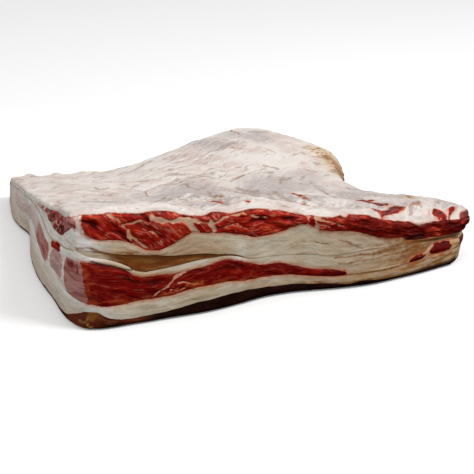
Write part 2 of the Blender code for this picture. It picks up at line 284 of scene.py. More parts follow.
def border_shares(front, left, back):
    """A stratum's upper border along the four edges, as shares of the slab's thickness."""
    front, left = share_of_height(front, True), share_of_height(left, False)
    near, middle, far = back
    across_back = [(0, left[-1][1]), (0.1, near), (0.5, middle), (1, far)]
    right = [(0, front[-1][1]), (0.5, (front[-1][1] + far) / 2), (1, far)]
    return front, right, across_back, left


SHARES = [border_shares(*borders) for borders in zip(FRONT_BORDERS, LEFT_BORDERS, BACK_BORDERS)]


# ---- Noise, and distances to drawn strokes ----
# A pattern's seed is the last plain number of its call.

HASH_PRIMES = np.array([73856093, 19349663, 83492791], np.uint64)
SLOPE_SHIFTS = np.array([0, 10, 20], np.uint64)


def noise(points, size, seed):
    """Smooth gradient noise, about -1 to 1, with lumps about size metres across; size may be per axis."""
    spots = points / size + seed * 7.31
    cell = np.floor(spots).astype(np.int64)
    part = spots - cell
    ease = part**3 * (part * (part * 6 - 15) + 10)
    total = np.zeros(len(points))
    for corner in np.ndindex(2, 2, 2):
        at = (cell + corner).astype(np.uint64)
        mixed = np.bitwise_xor.reduce(at * HASH_PRIMES, axis=1)
        mixed = (mixed + np.uint64(seed * 7919)) * np.uint64(0x9E3779B97F4A7C15)
        mixed ^= mixed >> np.uint64(29)
        mixed *= np.uint64(0xBF58476D1CE4E5B9)
        mixed ^= mixed >> np.uint64(32)
        slope = (mixed[:, None] >> SLOPE_SHIFTS & np.uint64(1023)).astype(float) / 511.5 - 1
        weight = np.prod(np.where(corner, ease, 1 - ease), axis=1)
        total += weight * np.sum(slope * (part - corner), axis=1)
    return total * 1.5


def rough_noise(points, size, seed, octaves=3):
    """Noise with finer noise laid over it."""
    return sum(noise(points, np.asarray(size) / 2**k, seed + k) / 2**k for k in range(octaves))


def on_plane(places):
    """2-D places as points, for the noise."""
    return np.column_stack([places, np.zeros(len(places))])


def stroke(places, path, width=0.0):
    """Distance of 2-D places from a polyline, or from a stroke whose half width shrinks to a third."""
    nearest = np.full(len(places), np.inf)
    count = len(path) - 1
    for i, (start, end) in enumerate(zip(path, path[1:])):
        start, line = np.array(start, float), np.array(end, float) - start
        along = np.clip((places - start) @ line / (line @ line), 0, 1)
        half = width * (1 - 0.67 * (i + along) / count)
        nearest = np.minimum(nearest, np.linalg.norm(places - start - along[:, None] * line, axis=1) - half)
    return nearest


def strokes(places, marks):
    """Strongest of several soft strokes, each (width, path), 0 to 1."""
    found = np.zeros(len(places))
    for width, path in marks:
        found = np.maximum(found, bell(stroke(places, path) / width * 1.3))
    return found


# ---- Details of the top: (width in mm, path in u and v) ----

FACE_RUN = 430.0  # mm along the long cut face, for placing details
SIDE_RUN = 365.0  # mm along the short one
NEAR_HEADING, FAR_HEADING = (0.5, 0.86), (0.95, 0.25)  # of the folds, on the near and far part of the top

TOP_GROOVES = [
    (2.5, [(0.829, 0.979), (0.815, 0.93), (0.805, 0.886)]),
    (1.8, [(0.764, 0.749), (0.775, 0.706), (0.790, 0.67)]),
    (2.2, [(0.725, 0.603), (0.771, 0.557)]),
    (2.2, [(0.319, 0.55), (0.374, 0.589), (0.423, 0.562)]),
    (2.4, [(0.294, 0.361), (0.323, 0.386), (0.35, 0.412)]),
    (2.4, [(0.248, 0.089), (0.282, 0.08), (0.309, 0.079)]),
    (2.6, [(0.554, 0.443), (0.602, 0.394), (0.597, 0.243)]),
    (2.6, [(0.6, 0.456), (0.622, 0.371), (0.664, 0.309)]),
    (2.2, [(0.746, 0.448), (0.792, 0.483)]),
    (3.2, [(0.818, 0.078), (0.826, 0.035), (0.830, 0.0)]),
    (2.5, [(0.595, 0.51), (0.62, 0.53), (0.65, 0.545)]),
    (2.5, [(0.45, 0.54), (0.455, 0.49), (0.47, 0.44)]),
    (2.2, [(0.676, 0.474), (0.71, 0.49), (0.738, 0.512)]),
    (2.5, [(0.76, 0.465), (0.805, 0.488)]),
    (3.0, [(0.594, 0.44), (0.62, 0.41), (0.638, 0.38)]),
    (3.0, [(0.634, 0.406), (0.633, 0.337), (0.59, 0.25), (0.55, 0.17)]),
    (3.0, [(0.667, 0.36), (0.63, 0.28), (0.593, 0.215), (0.54, 0.10)]),
    (3.5, [(0.488, 0.408), (0.44, 0.30), (0.398, 0.211), (0.354, 0.10)]),
    (2.5, [(0.404, 0.066), (0.41, 0.039)]),
    (2.5, [(0.692, 0.313), (0.653, 0.24), (0.60, 0.142)]),
    (2.0, [(0.572, 0.123), (0.562, 0.07), (0.58, 0.083)]),
    (2.5, [(0.826, 0.39), (0.80, 0.32)]),
    (2.5, [(0.312, 0.256), (0.345, 0.281), (0.367, 0.22), (0.356, 0.153)]),
    (2.0, [(0.185, 0.628), (0.197, 0.575), (0.23, 0.628)]),
    (2.0, [(0.183, 0.537), (0.196, 0.482)]),
    (2.5, [(0.797, 0.322), (0.76, 0.24), (0.719, 0.153)]),
    (2.5, [(0.922, 0.387), (0.983, 0.34)]),
    (2.5, [(0.05, 0.45), (0.12, 0.47), (0.208, 0.485)]),
    (3.0, [(0.03, 0.70), (0.10, 0.69), (0.178, 0.68)]),
    (2.5, [(0.30, 0.70), (0.38, 0.66), (0.44, 0.665)]),
    (2.5, [(0.55, 0.76), (0.63, 0.80), (0.70, 0.81)]),
    (3.0, [(0.33, 0.86), (0.40, 0.88), (0.47, 0.93)]),
]
TOP_STAINS = [
    (2.6, [(0.318, 0.52), (0.313, 0.465), (0.325, 0.44)]),
    (2.6, [(0.829, 0.975), (0.815, 0.93), (0.805, 0.886)]),
    (8.0, [(0.812, 0.058), (0.838, 0.072), (0.862, 0.086)]),
    (2.4, [(0.552, 0.098), (0.573, 0.069)]),
    (1.6, [(0.604, 0.53), (0.652, 0.546)]),
    (2.6, [(0.67, 0.785), (0.714, 0.742)]),
    (12.0, [(0.955, 0.635), (0.975, 0.585), (0.985, 0.54)]),
    (3.0, [(0.454, 0.31), (0.435, 0.265), (0.417, 0.22)]),
    (2.5, [(0.572, 0.123), (0.562, 0.07)]),
    (2.0, [(0.312, 0.256), (0.345, 0.281), (0.367, 0.22), (0.356, 0.153)]),
    (4.5, [(0.905, 0.16), (0.95, 0.205), (0.99, 0.25)]),
    (1.5, [(0.45, 0.54), (0.455, 0.49), (0.47, 0.44)]),
    (1.5, [(0.692, 0.313), (0.653, 0.24)]),
    (1.5, [(0.595, 0.51), (0.65, 0.545)]),
]
TOP_BLOOD = [
    (4.2, [(0.374, 0.175), (0.366, 0.15), (0.358, 0.12)]),
    (3.4, [(0.404, 0.066), (0.41, 0.039)]),
    (1.8, [(0.488, 0.19), (0.478, 0.14)]),
    (2.0, [(0.690, 0.32), (0.668, 0.26), (0.660, 0.24)]),
    (1.6, [(0.650, 0.225), (0.637, 0.195)]),
    (2.2, [(0.556, 0.085), (0.575, 0.067)]),
    (8.0, [(0.738, 0.135), (0.762, 0.160), (0.796, 0.168)]),
    (8.5, [(0.746, 0.118), (0.760, 0.104), (0.780, 0.106)]),
    (9.5, [(0.790, 0.060), (0.768, 0.034), (0.742, 0.014), (0.720, 0.036)]),
    (8.0, [(0.908, 0.022), (0.930, 0.0)]),
    (3.4, [(0.950, 0.034), (0.944, 0.0)]),
    (11.0, [(1.0, 0.0), (0.997, 0.035)]),
]
# Raised sheets of membrane: (height in mm, half width in mm, path).
TOP_PLATES = [
    (3.0, 10, [(0.835, 0.05), (0.855, 0.10), (0.885, 0.05)]),
    (3.0, 8, [(0.842, 0.0), (0.872, 0.0)]),
    (1.2, 7, [(0.66, 0.09), (0.69, 0.03)]),
    (1.0, 6, [(0.52, 0.06), (0.56, 0.12), (0.60, 0.22)]),
    (1.2, 6, [(0.795, 0.10), (0.805, 0.05)]),
    (0.9, 8, [(0.13, 0.10), (0.22, 0.06), (0.30, 0.05)]),
    (0.9, 7, [(0.38, 0.06), (0.43, 0.12), (0.42, 0.20)]),
]
TOP_LUMPS = [
    (10, [(0.238, 0.95), (0.262, 0.925)]),
    (7, [(0.148, 0.965), (0.15, 0.95)]),
    (7, [(0.064, 0.96), (0.07, 0.95)]),
    (4, [(0.572, 0.135), (0.585, 0.115)]),
    (5, [(0.43, 0.25), (0.445, 0.285)]),
    (6, [(0.82, 0.05), (0.86, 0.045), (0.895, 0.04)]),
    (9, [(0.635, 0.004), (0.665, 0.002), (0.70, 0.004)]),
    (7, [(0.455, 0.012), (0.50, 0.010), (0.53, 0.006)]),
    (5, [(0.19, 0.02), (0.22, 0.015), (0.25, 0.02)]),
    (6, [(0.94, 0.03), (0.97, 0.05)]),
]
TOP_AGED = [
    (22, [(0.945, 0.66), (0.975, 0.60), (0.985, 0.55)]),
    (8, [(0.905, 0.16), (0.95, 0.205)]),
    (6, [(0.43, 0.25), (0.445, 0.285)]),
]
# Zones of the top laid over with grey, as painted shade.
TOP_PAINTED_SHADE = [
    (70, [(0.36, 0.44), (0.60, 0.40), (0.78, 0.42)]),
    (45, [(0.50, 0.24), (0.70, 0.22), (0.84, 0.24)]),
    (60, [(0.84, 0.24), (0.98, 0.26)]),
    (30, [(0.96, 0.10), (0.99, 0.14)]),
    (34, [(0.68, 0.06), (0.80, 0.12)]),
    (26, [(0.91, 0.02), (0.98, 0.06)]),
    (24, [(0.10, 0.30), (0.22, 0.28)]),
    (26, [(0.28, 0.16), (0.42, 0.18)]),
    (22, [(0.80, 0.88), (0.81, 0.78), (0.87, 0.88)]),
    (30, [(0.66, 0.95), (0.70, 0.80)]),
]
# Where the grey is taken off the top again, as painted light: the bright band, and the rim.
TOP_PAINTED_LIGHT = [
    (32, [(0.10, 0.55), (0.45, 0.68), (0.75, 0.64), (0.95, 0.60)]),
    (30, [(0.03, 0.3), (0.12, 0.2), (0.26, 0.05)]),
    (7, [(0.02, 0.02), (0.20, 0.02), (0.40, 0.015), (0.56, 0.01)]),
    (6, [(0.30, 0.30), (0.42, 0.40)]),
    (5, [(0.56, 0.10), (0.62, 0.20)]),
    (5, [(0.70, 0.16), (0.78, 0.28)]),
    (12, [(0.82, 0.06), (0.88, 0.03)]),
]


def top_places(u, v):
    return np.stack([u * FACE_RUN, v * SIDE_RUN], axis=1)


def on_top(marks):
    """Marks given in (u, v), with their paths in millimetres."""
    return [(width, [(u * FACE_RUN, v * SIDE_RUN) for u, v in path]) for width, path in marks]


def wobbled(places, amount, seed):
    """Places shifted a little at random, so that the strokes drawn over them waver."""
    shift = [rough_noise(on_plane(places), 14.0, seed + 10 * axis) for axis in range(2)]
    return places + amount * np.stack(shift, axis=1)


def heading_axes(heading):
    """Axes along and across a heading in plan, one a row."""
    along = np.array([heading[0], heading[1], 0.0]) / np.linalg.norm(heading)
    return np.stack([along, (-along[1], along[0], 0.0), (0, 0, 1)])


def winding(flat, heading, size, stretch, sway, wave, seed):
    """Noise drawn out along a heading in plan, in lines that sway from side to side."""
    axes = heading_axes(heading)
    bent = flat + sway * size * rough_noise(flat, size * wave, seed)[:, None] * axes[1]
    return noise(bent @ axes.T, (size * stretch, size, 1.0), seed + 4)


def creases(flat, heading, size, seed):
    """Soft folds along a heading in plan, 0 in the sharp creases between them."""
    return np.abs(winding(flat, heading, size, 3.5, 0.35, 2.5, seed)) * 2


def furrows(flat, heading, size, seed):
    """Narrow winding furrows along a heading in plan, 1 at their bottoms, in patches."""
    line = smooth(1 - np.abs(winding(flat, heading, size, 4, 0.9, 2.2, seed)) / 0.12)
    return line * smooth(0.45 + 1.6 * noise(flat, 0.032, seed + 6))


def far_share(v):
    """How far the folds have turned from the near heading to the far one."""
    return rise(v, 0.30, 0.25)


def top_folds(u, v):
    """The cap's broad relief, and its fine relief, over the CAD's smooth top, in millimetres."""
    places = top_places(u, v)
    flat = on_plane(places) * MM
    drawn = wobbled(places, 3.0, 5)
    near = creases(flat, NEAR_HEADING, 0.014, 21) + 0.5 * creases(flat, (0.65, 0.75), 0.007, 25)
    far = creases(flat, FAR_HEADING, 0.017, 31) + 0.5 * creases(flat, (0.8, -0.3), 0.008, 35)
    is_far = far_share(v)
    folds = near + (far - near) * is_far
    furrow = np.maximum(furrows(flat, NEAR_HEADING, 0.011, 61) * (1 - is_far),
                        0.8 * furrows(flat, FAR_HEADING, 0.013, 71) * (0.4 + 0.6 * is_far))
    strength = 0.35 + 0.65 * smooth(0.5 + 1.2 * noise(flat, 0.06, 22))
    fine = 1.4 * (folds - 0.7) * strength + 0.3 * rough_noise(flat, 0.007, 41, octaves=2)
    fine = fine - 1.2 * strokes(drawn, on_top(TOP_GROOVES)) - 1.1 * furrow
    broad = 1.6 * rough_noise(flat, 0.07, 11) + 2.6 * strokes(drawn, on_top(TOP_LUMPS))
    plates = on_top([(half, path) for _, half, path in TOP_PLATES])
    broad = broad + np.max([height * smooth(0.5 - stroke(drawn, path, half) / 1.6)
                            for (height, _, _), (half, path) in zip(TOP_PLATES, plates)], axis=0)
    broad = broad + bell(v * SIDE_RUN / 16) * between(RIM_HUMPS, u)
    scallops = 1.5 * noise(flat, (0.03, 0.012, 1), 51) + 0.7 * noise(flat, (0.012, 0.006, 1), 52)
    return broad + bell(v * SIDE_RUN / 14) * scallops, fine


def top_relief(u, v):
    """Height of the cap's creases, folds and lumps over the CAD's smooth top."""
    edge = np.min(reaches(u, v), axis=0)
    return sum(top_folds(u, v)) * MM * (0.5 + 0.5 * smooth(edge / 0.010))


def edge_drop(u, v):
    """How far the rounded upper edge has dropped."""
    round_off = 0.0
    for reach in reaches(u, v):
        inside = np.clip(1 - reach / EDGE_RADIUS, 0, 1)
        round_off = round_off + EDGE_RADIUS * (1 - np.sqrt(1 - inside**2))
    return np.minimum(round_off, EDGE_RADIUS * 1.3)


def top_surface(u, v):
    """The slab's upper surface with its relief and its rounded upper edge."""
    return top_height(u, v) + top_relief(u, v) - edge_drop(u, v)


def levels(u, v, top, ragged=0.0):
    """Heights of all the surfaces, from the underside to the top, one row for each."""
    low, high = base_height(u, v), top_height(u, v)
    borders = np.array([low + (high - low) * coons(*edges, u, v) for edges in SHARES]) + ragged
    found = np.array([low, *borders, top])
    for i in range(1, len(found) - 1):
        found[i] = np.maximum(found[i], found[i - 1] + LEAST_LAYER)
    for i in range(len(found) - 2, 0, -1):
        found[i] = np.minimum(found[i], found[i + 1] - LEAST_LAYER)
    return found


# ---- Plan positions ----

def round_corners(u, v):
    """Draws the plan coordinates in at the four corners, so that the outline turns them in arcs."""
    u, v = u.copy(), v.copy()
    to_front, to_right, to_back, to_left = reaches(u, v)
    corners = ((to_left, to_front, 1, 1), (to_right, to_front, -1, 1), (to_right, to_back, -1, -1),
               (to_left, to_back, 1, -1))
    for radius, (a, b, u_sign, v_sign) in zip(CORNER_RADII, corners):
        x, y = np.maximum(0, 1 - a / radius), np.maximum(0, 1 - b / radius)
        u += u_sign * radius / FRONT_LENGTH * x * (1 - np.sqrt(1 - y * y / 2))
        v += v_sign * radius / SIDE_LENGTH * y * (1 - np.sqrt(1 - x * x / 2))
    return u, v


def outward(u, v, du, dv):
    """Unit vector out of the outline at a rim point, along the grid line that ends there."""
    line = plan(u, v) - plan(u - du * RIM_STEP, v - dv * RIM_STEP)
    return line / np.linalg.norm(line, axis=1)[:, None]


def rim_waver(u):
    """How the upper edge of the long cut wavers in and out."""
    spots = np.stack([u * FRONT_LENGTH, 0 * u, 0 * u], axis=1)
    return 1.3 * MM * rough_noise(spots, 0.028, 700, octaves=2)


def place(u, v, height, recess_front=0.0, recess_right=0.0):
    """Plan position at a height: the walls lean, and are drawn back where they gape."""
    to_front, to_right, to_back, to_left = reaches(u, v)
    spot = plan(*round_corners(u, v))
    zero, one = np.zeros_like(u), np.ones_like(u)
    up = smooth(height / top_height(u, v))
    waver = rim_waver(u) * up**4 - BEVEL * (1 - smooth((top_height(u, v) - height) / BEVEL_DEPTH))
    gape = mouth(u, v, height)
    tuck = between(UNDERCUT, u) * np.clip(1 - height / UNDERCUT_HEIGHT, 0, 1) ** 2
    sides = (
        (to_front, outward(u, zero, 0, -1),
         between(FRONT_FOOT, u) * (1 - up) - SETBACK * up - tuck - recess_front - gape + waver),
        (to_back, outward(u, one, 0, 1), -tuck),
        (to_left, outward(zero, v, -1, 0), between(LEFT_FOOT, v) * (1 - up)),
        (to_right, outward(one, v, 1, 0),
         OVERHANG * (2 * up - 1) * fall(v, 0, OVERHANG_LENGTH) - tuck - recess_right - gape),
    )
    for reach, direction, amount in sides:
        spot = spot + direction * (amount * fall(reach, 0, FADE_DEPTH))[:, None]
    return spot


def mouth(u, v, height):
    """How far the walls draw in between the upper lean and the fat below it, at the right-hand end."""
    near_end = rise(u, 0.86, 0.12) * fall(v, 0, MOUTH_LENGTH)
    return MOUTH_DEPTH * bell((height - MOUTH_HEIGHT) / MOUTH_HALF) * near_end


def seam_recess(u, v):
    """How far the seam lies back from the front wall, and from the right one."""
    open_end = fall(v, 0, MOUTH_LENGTH) * rise(u, 0.5, 0.4)
    return between(SEAM_RECESS, u), SEAM_RECESS[-1][1] * open_end


def grid_lines(length):
    """Shares of a side at which grid lines run: fine at the rims, even between."""
    rim = np.cumsum((0.0,) + RIM_SPACINGS)
    count = round((length - 2 * rim[-1]) / SPACING)
    middle = np.linspace(rim[-1], length - rim[-1], count + 1)
    return np.concatenate([rim[:-1], middle, length - rim[-2::-1]]) / length


U_LINES, V_LINES = grid_lines(FRONT_LENGTH), grid_lines(SIDE_LENGTH)
NU, NV = len(U_LINES) - 1, len(V_LINES) - 1
FACE_STARTS = (0, NU, NU + NV, 2 * NU + NV)  # first column of the front, right, back and left walls
COLUMNS = 2 * (NU + NV)
RIM_U = np.concatenate([U_LINES[:-1], np.ones(NV), U_LINES[:0:-1], np.zeros(NV)])
RIM_V = np.concatenate([np.zeros(NU), V_LINES[:-1], np.ones(NU), V_LINES[:0:-1]])
RIM_UV = np.stack([RIM_U, RIM_V], axis=1)


def rim_normals():
    """Horizontal outward unit normals of the slab's outline, one for each column."""
    spots = place(RIM_U, RIM_V, top_height(RIM_U, RIM_V) / 2)
    along = np.roll(spots, -2, axis=0) - np.roll(spots, 2, axis=0)
    along /= np.linalg.norm(along, axis=1)[:, None]
    return np.stack([along[:, 1], -along[:, 0]], axis=1)


RIM_NORMALS = rim_normals()
RIM_SPOTS = place(RIM_U, RIM_V, top_height(RIM_U, RIM_V) / 2)
# Which face each column is on.
ON_FRONT = (RIM_V <= 0) & (RIM_U < 1)
ON_RIGHT = (RIM_U >= 1) & (RIM_V < 1)
ON_BACK = (RIM_V >= 1) & (RIM_U > 0)
ON_LEFT = (RIM_U <= 0) & (RIM_V > 0)


def ragged_borders():
    """Small wandering of the strata's borders at the walls, one row for each border."""
    spots = on_plane(RIM_SPOTS)
    rows = [0.7 * rough_noise(spots, 0.02, 100 + 10 * i) * MM for i in range(len(SHARES))]
    scallops = 5.5 * np.abs(noise(spots, 0.02, 200)) + 3.0 * np.abs(noise(spots, 0.008, 203)) - 2.2
    scallops = scallops + 0.8 * noise(spots, 0.0035, 206)
    for index in (INNER, SEAM, UPPER):
        rows[index] *= 0.5
    rows[UPPER] += (0.55 * ON_FRONT + ON_RIGHT) * scallops * MM + ON_FRONT * between(RIM_HUMPS, RIM_U) * MM
    return np.array(rows)


RIM_TOP = top_surface(RIM_U, RIM_V)
RIM_LEVELS = levels(RIM_U, RIM_V, RIM_TOP, ragged_borders())
RUN = np.where(ON_FRONT | ON_BACK, RIM_U * FACE_RUN, RIM_V * SIDE_RUN)  # mm along each face

# ---- Details of the walls: (half width, path in run and height), all in millimetres ----

# Where the lean shows in its stratum: (start, end) of each island along the run.
FRONT_ISLANDS = {LOWER: [(-40, 281), (357, 375.5), (381, 416)],
                 UPPER: [(-20, 3), (8, 238), (240, 247), (249, 470)]}
LEFT_ISLANDS = {LOWER: [(-40, 29), (38, 82), (93, 300)], UPPER: [(-6, 122), (133, 172)]}
LEFT_SPOTS = [(5.2, [(55, 66.5), (80, 56)])]  # lean outside its stratum
# White septa and tendons across the lean.
FRONT_SEPTA = [
    (1.2, [(35, 117), (43, 110), (49, 102), (52, 93), (57, 85)]),
    (0.8, [(46, 105), (55, 106), (66, 107), (77, 103), (84, 98)]),
    (1.0, [(52, 98), (60, 88), (69, 78)]),
    (2.0, [(76, 109), (87, 106.5), (99, 103), (112, 101)]),
    (0.7, [(66, 100), (78, 92), (84, 83)]),
    (3.2, [(107, 102), (112, 97), (118, 88), (121, 80)]),
    (1.6, [(84, 105.5), (98, 104.5), (110, 102), (120, 100), (129, 98), (135, 95)]),
    (2.2, [(133, 97), (135.5, 90), (134.5, 81)]),
    (0.9, [(136, 97), (152, 100), (168, 98), (184, 92), (196, 88)]),
    (0.6, [(142, 90), (160, 91), (174, 80)]),
    (0.8, [(248, 82), (262, 77), (276, 72)]),
    (0.8, [(250, 76), (262, 71)]),
    (1.2, [(105, 51), (94, 44), (84, 36), (72, 28)]),
    (0.6, [(98, 40), (108, 37), (120, 35)]),
    (0.5, [(88, 33), (97, 31), (104, 32)]),
]
LEFT_SEPTA = [
    (2.2, [(128, 70), (112, 80), (96, 92), (84, 100)]),
    (1.4, [(100, 72), (84, 80), (66, 90), (55, 101)]),
    (1.0, [(44, 98), (58, 88), (70, 78)]),
]
# Brown creases in the fat.
FRONT_CREASES = [
    (2.4, [(1, 85.6), (13, 85.2), (22, 81.8), (34, 77.6), (52, 73)]),
    (3.4, [(317, 37.4), (350, 37.5), (410, 39)]),
    (1.8, [(271, 57), (284, 52), (293, 46), (302, 42)]),
    (3.0, [(352, 46), (340, 41), (329, 37), (310, 36)]),
    (1.8, [(393, 34), (362, 34), (322, 31), (293, 31), (272, 30)]),
    (2.2, [(382, 38), (352, 38), (328, 36), (304, 37), (282, 37), (268, 37)]),
    (2.0, [(411, 15), (381, 18), (355, 17), (323, 16), (300, 16.5), (280, 17)]),
    (1.3, [(232, 58), (246, 57), (262, 52)]),
    (1.3, [(305, 60), (318, 57), (331, 56)]),
    (2.6, [(405, 40), (380, 42), (360, 43)]),
    (2.4, [(416, 17), (400, 12), (380, 10)]),
]
FRONT_SHADOWS = [
    (1.7, [(15, 72), (26, 67.5), (40, 63), (54, 58.6)]),
    (2.2, [(47, 117.5), (58, 116.5)]),
    (4.6, [(350, 46), (359, 47.5), (371, 46)]),
]
LEFT_SHADOWS = [(1.5, [(0, 69), (4, 66)])]
FRONT_RAW = [(6.0, [(84, 29), (94, 33), (110, 35), (122, 37)])]  # orange patches of the lower lean
LEFT_FRESH = [(5.0, [(7, 67), (17, 63)]), (2.5, [(-2, 70), (0, 62)])]  # red spots on the faded lean
# Yellow bits of fat on the flank muscle, at the corner.
FRONT_BITS = [(1.1, [(0, 11), (4, 16)]), (1.0, [(0, 6), (6, 3)]), (1.3, [(0, 8), (2, 7)])]
LEFT_BITS = [(1.6, [(5, 9), (2, 8), (0, 9)])]
SHADED_FOOT_HEIGHT = 5.0  # up to which the outer fat's foot is painted dark, as shade where it turns under, at the far end of the cut
CLEFT_END = 0.36  # u where the seam's cleft is closed
LIP = [(0.02, 0.0), (0.045, 0.6), (0.09, 0.35), (0.14, 0.0)]  # the inner fat's lip over the lean, by u
LIP_BULGE, LIP_HOLLOW = 1.6, 1.3  # mm for a whole lip: the fat stands out, and the lean is drawn in
SLANTING = (0.76, 0, -0.62)  # how the fibres of the upper lean run at the near end of the long cut
NEARLY_LEVEL = (0.95, 0, -0.20)  # and at its far end
BEND_PLACE = (0.15, 0.0, 0.09)
FLOW_STRETCH = (5.0, 2.0, 1.0)  # patterns are this much longer along, beside and across the fibres
NO_LEAN = -6.0  # mm from the edge of the lean, and the least that is told apart
# The lean that borders each stratum of fat, and whether it lies above.
BORDERING = {OUTER: (LOWER, True), INNER: (LOWER, False), MIDDLE: (UPPER, True), CAP: (UPPER, False)}


def wall_heights(index):
    """Height of every wall point of a stratum, rows by columns, and its share of the way up."""
    rows = WALL_ROWS[index]
    share = np.linspace(0, 1, rows + 1)
    share = 0.5 * share + 0.25 * (1 - np.cos(np.pi * share))
    low = RIM_LEVELS[index] + (CLEARANCE if index else 0.0)
    high = RIM_LEVELS[index + 1] - (CLEARANCE if index < CAP else 0.0)
    share = np.broadcast_to(share[:, None], (rows + 1, COLUMNS))
    return low + (high - low) * share, share


def wall_points(index):
    """Every fact about a stratum's wall points, flattened row by row.

    run and high are millimetres along a face and above the table, share goes from 0 to 1 up through the
    stratum, slab is a point of the smooth wall, and front, right, back and left tell the faces apart.
    """
    height, share = wall_heights(index)
    rows = len(height)
    facts = {"u": RIM_U, "v": RIM_V, "run": RUN, "front": ON_FRONT, "left": ON_LEFT, "right": ON_RIGHT,
             "back": ON_BACK, "thickness": (height[-1] - height[0]) / MM}
    p = SimpleNamespace(**{name: np.tile(values, rows) for name, values in facts.items()})
    p.height, p.share = height.ravel(), share.ravel()
    p.high = p.height / MM
    p.places = np.stack([p.run, p.high], axis=1)
    p.normal = np.tile(RIM_NORMALS, (rows, 1))
    p.slab = np.column_stack([np.tile(RIM_SPOTS, (rows, 1)), p.height])
    return p


def island_reach(run, islands):
    """Millimetres inside the nearest island; negative between islands."""
    return np.max([np.minimum(run - start, end - run) for start, end in islands], axis=0)


def stray_lean(index, p, drawn):
    """Lean depth in a stratum of fat: the red that reaches in from its neighbour, and stray spots."""
    depth = np.full(len(p.u), NO_LEAN)
    if index in BORDERING:
        lean, above = BORDERING[index]
        reach = np.where(p.front, island_reach(p.run, FRONT_ISLANDS[lean]), NO_LEAN)
        reach = np.where(p.left, island_reach(p.run, LEFT_ISLANDS[lean]), reach)
        away = (1 - p.share if above else p.share) * p.thickness
        depth = np.maximum(depth, np.minimum(reach, 0) - 0.65 * away - 0.15 - 2.2 * p.left)
    if index > LOWER:
        for radius, path in LEFT_SPOTS:
            depth = np.where(p.left, np.maximum(depth, radius - stroke(drawn, path)), depth)
    if index == CAP:
        depth = np.maximum(depth, blood_depth(p.u, p.v))
    return depth


def lean_depth(index, p, spots):
    """Signed distance from the edge of the lean, in millimetres, positive in the lean."""
    drawn = wobbled(p.places, 2.2, 330)
    if index not in (LOWER, UPPER):
        return stray_lean(index, p, drawn)
    moved = p.run + 3 * rough_noise(spots, (0.012, 0.012, 0.008), 300 + index)
    by_face = [island_reach(moved, islands[index]) for islands in (FRONT_ISLANDS, LEFT_ISLANDS)]
    hidden = 9 + 26 * rough_noise(spots * (1, 1, 0.2), 0.07, 320 + index)
    reach = np.select([p.front, p.left], by_face, hidden)
    half = p.thickness / 2
    off_middle = np.abs(p.share - 0.5) * p.thickness
    taper = np.where(p.front * p.u > 0.6, half * 1.6, np.clip(half * 0.5, 1, 5))
    round_end = np.clip(reach / np.maximum(taper, 1), 0, 1) ** 0.5
    depth = np.where(reach > 0, np.minimum(round_end * (half + 0.4) - off_middle, reach + 1), reach)
    lens = p.front & (index == LOWER) & (p.u > 0.8)
    depth = depth + lens * (2.2 * noise(spots, (0.006, 0.006, 0.0025), 338) - 0.6)
    waver = noise(spots, 0.006, 336)
    for marks, shown in ((FRONT_SEPTA, p.front), (LEFT_SEPTA, p.left)):
        for width, path in marks:
            gap = stroke(drawn, path, width * 1.3) + 0.9 * width * waver
            gap = np.maximum(gap, -0.5 - 0.6 * max(width - 0.8, 0))
            depth = np.where(shown, np.minimum(depth, gap), depth)
    return depth


def turned(spots, direction, start, seed):
    """Coordinates along, beside and across the strands that run in a direction, a little bent."""
    along = np.array(direction, float) / np.linalg.norm(direction)
    across = np.cross(along, (0, 1, 0))
    bent = spots - start + 0.0025 * rough_noise(spots, 0.016, seed)[:, None] * across
    return bent @ np.stack([along, (0, 1, 0), across]).T


def strands(flow, size, seed):
    """Rounded bundles along a flow, -1 in the clefts between them to 1 on their crests."""
    thick = 1 - 2.6 * np.abs(noise(flow, (size * 3.2, size * 1.6, size), seed))
    thin = 1 - 2.6 * np.abs(noise(flow, (size * 1.6, size * 0.8, size * 0.45), seed + 2))
    return np.clip(0.72 * thick + 0.38 * thin, -1, 1)


def grain_flow(index, p, spots):
    """Coordinates along and across the fibres: slanting, then level above; along the layers elsewhere."""
    if index == UPPER:
        slanting = turned(spots, SLANTING, BEND_PLACE, 500)
        level = turned(spots, NEARLY_LEVEL, BEND_PLACE, 500)
        return slanting + (level - slanting) * rise(p.u, 0.26, 0.2)[:, None]
    bend = 0.002 * rough_noise(spots, 0.03, 510, octaves=2)
    middle = (p.share - 0.5) * p.thickness * MM
    run = np.where(p.left, -p.run, p.run) * MM
    return np.stack([run, spots[:, 1] * 0.3, middle + bend], axis=1)


def wall_relief(index, p, spots, lean, grain):
    """How far the wall stands out of the smooth wall, in millimetres."""
    fat = 0.5 * rough_noise(spots, (0.03, 0.03, 0.012), 400, octaves=2)
    fat += 0.12 * noise(spots, (0.012, 0.012, 0.003), 410)
    swell = {LOWER: 0.6, UPPER: 1.0}.get(index, 0.3) * 4 * p.share * (1 - p.share)
    into = smooth(lean / 2.0)
    depth = {UPPER: 1.25 + 0.5 * rise(p.u, 0.5, 0.1), LOWER: 0.4}.get(index, 0.0)
    relief = fat * (1 - into) + into * depth * grain + swell * np.where(lean > 0, 1, 0.5)
    if index == CAP:
        lap = np.where(p.front, 0.9 + rise(p.u, 0.78, 0.04), 0.2)
        roll = np.sin(np.pi * (0.2 + 0.8 * p.share)) * smooth(0.3 + p.thickness / 6)
        rough = 1 + 0.7 * rough_noise(p.slab, 0.007, 440, octaves=2)
        relief = relief * (1 - p.share) + lap * roll * rough
    if index == INNER:
        relief += LIP_BULGE * between(LIP, p.u) * p.front * np.sin(np.pi * p.share)
    if index == LOWER:
        relief -= LIP_HOLLOW * between(LIP, p.u) * p.front * smooth(1 - (1 - p.share) * p.thickness / 4)
    return relief


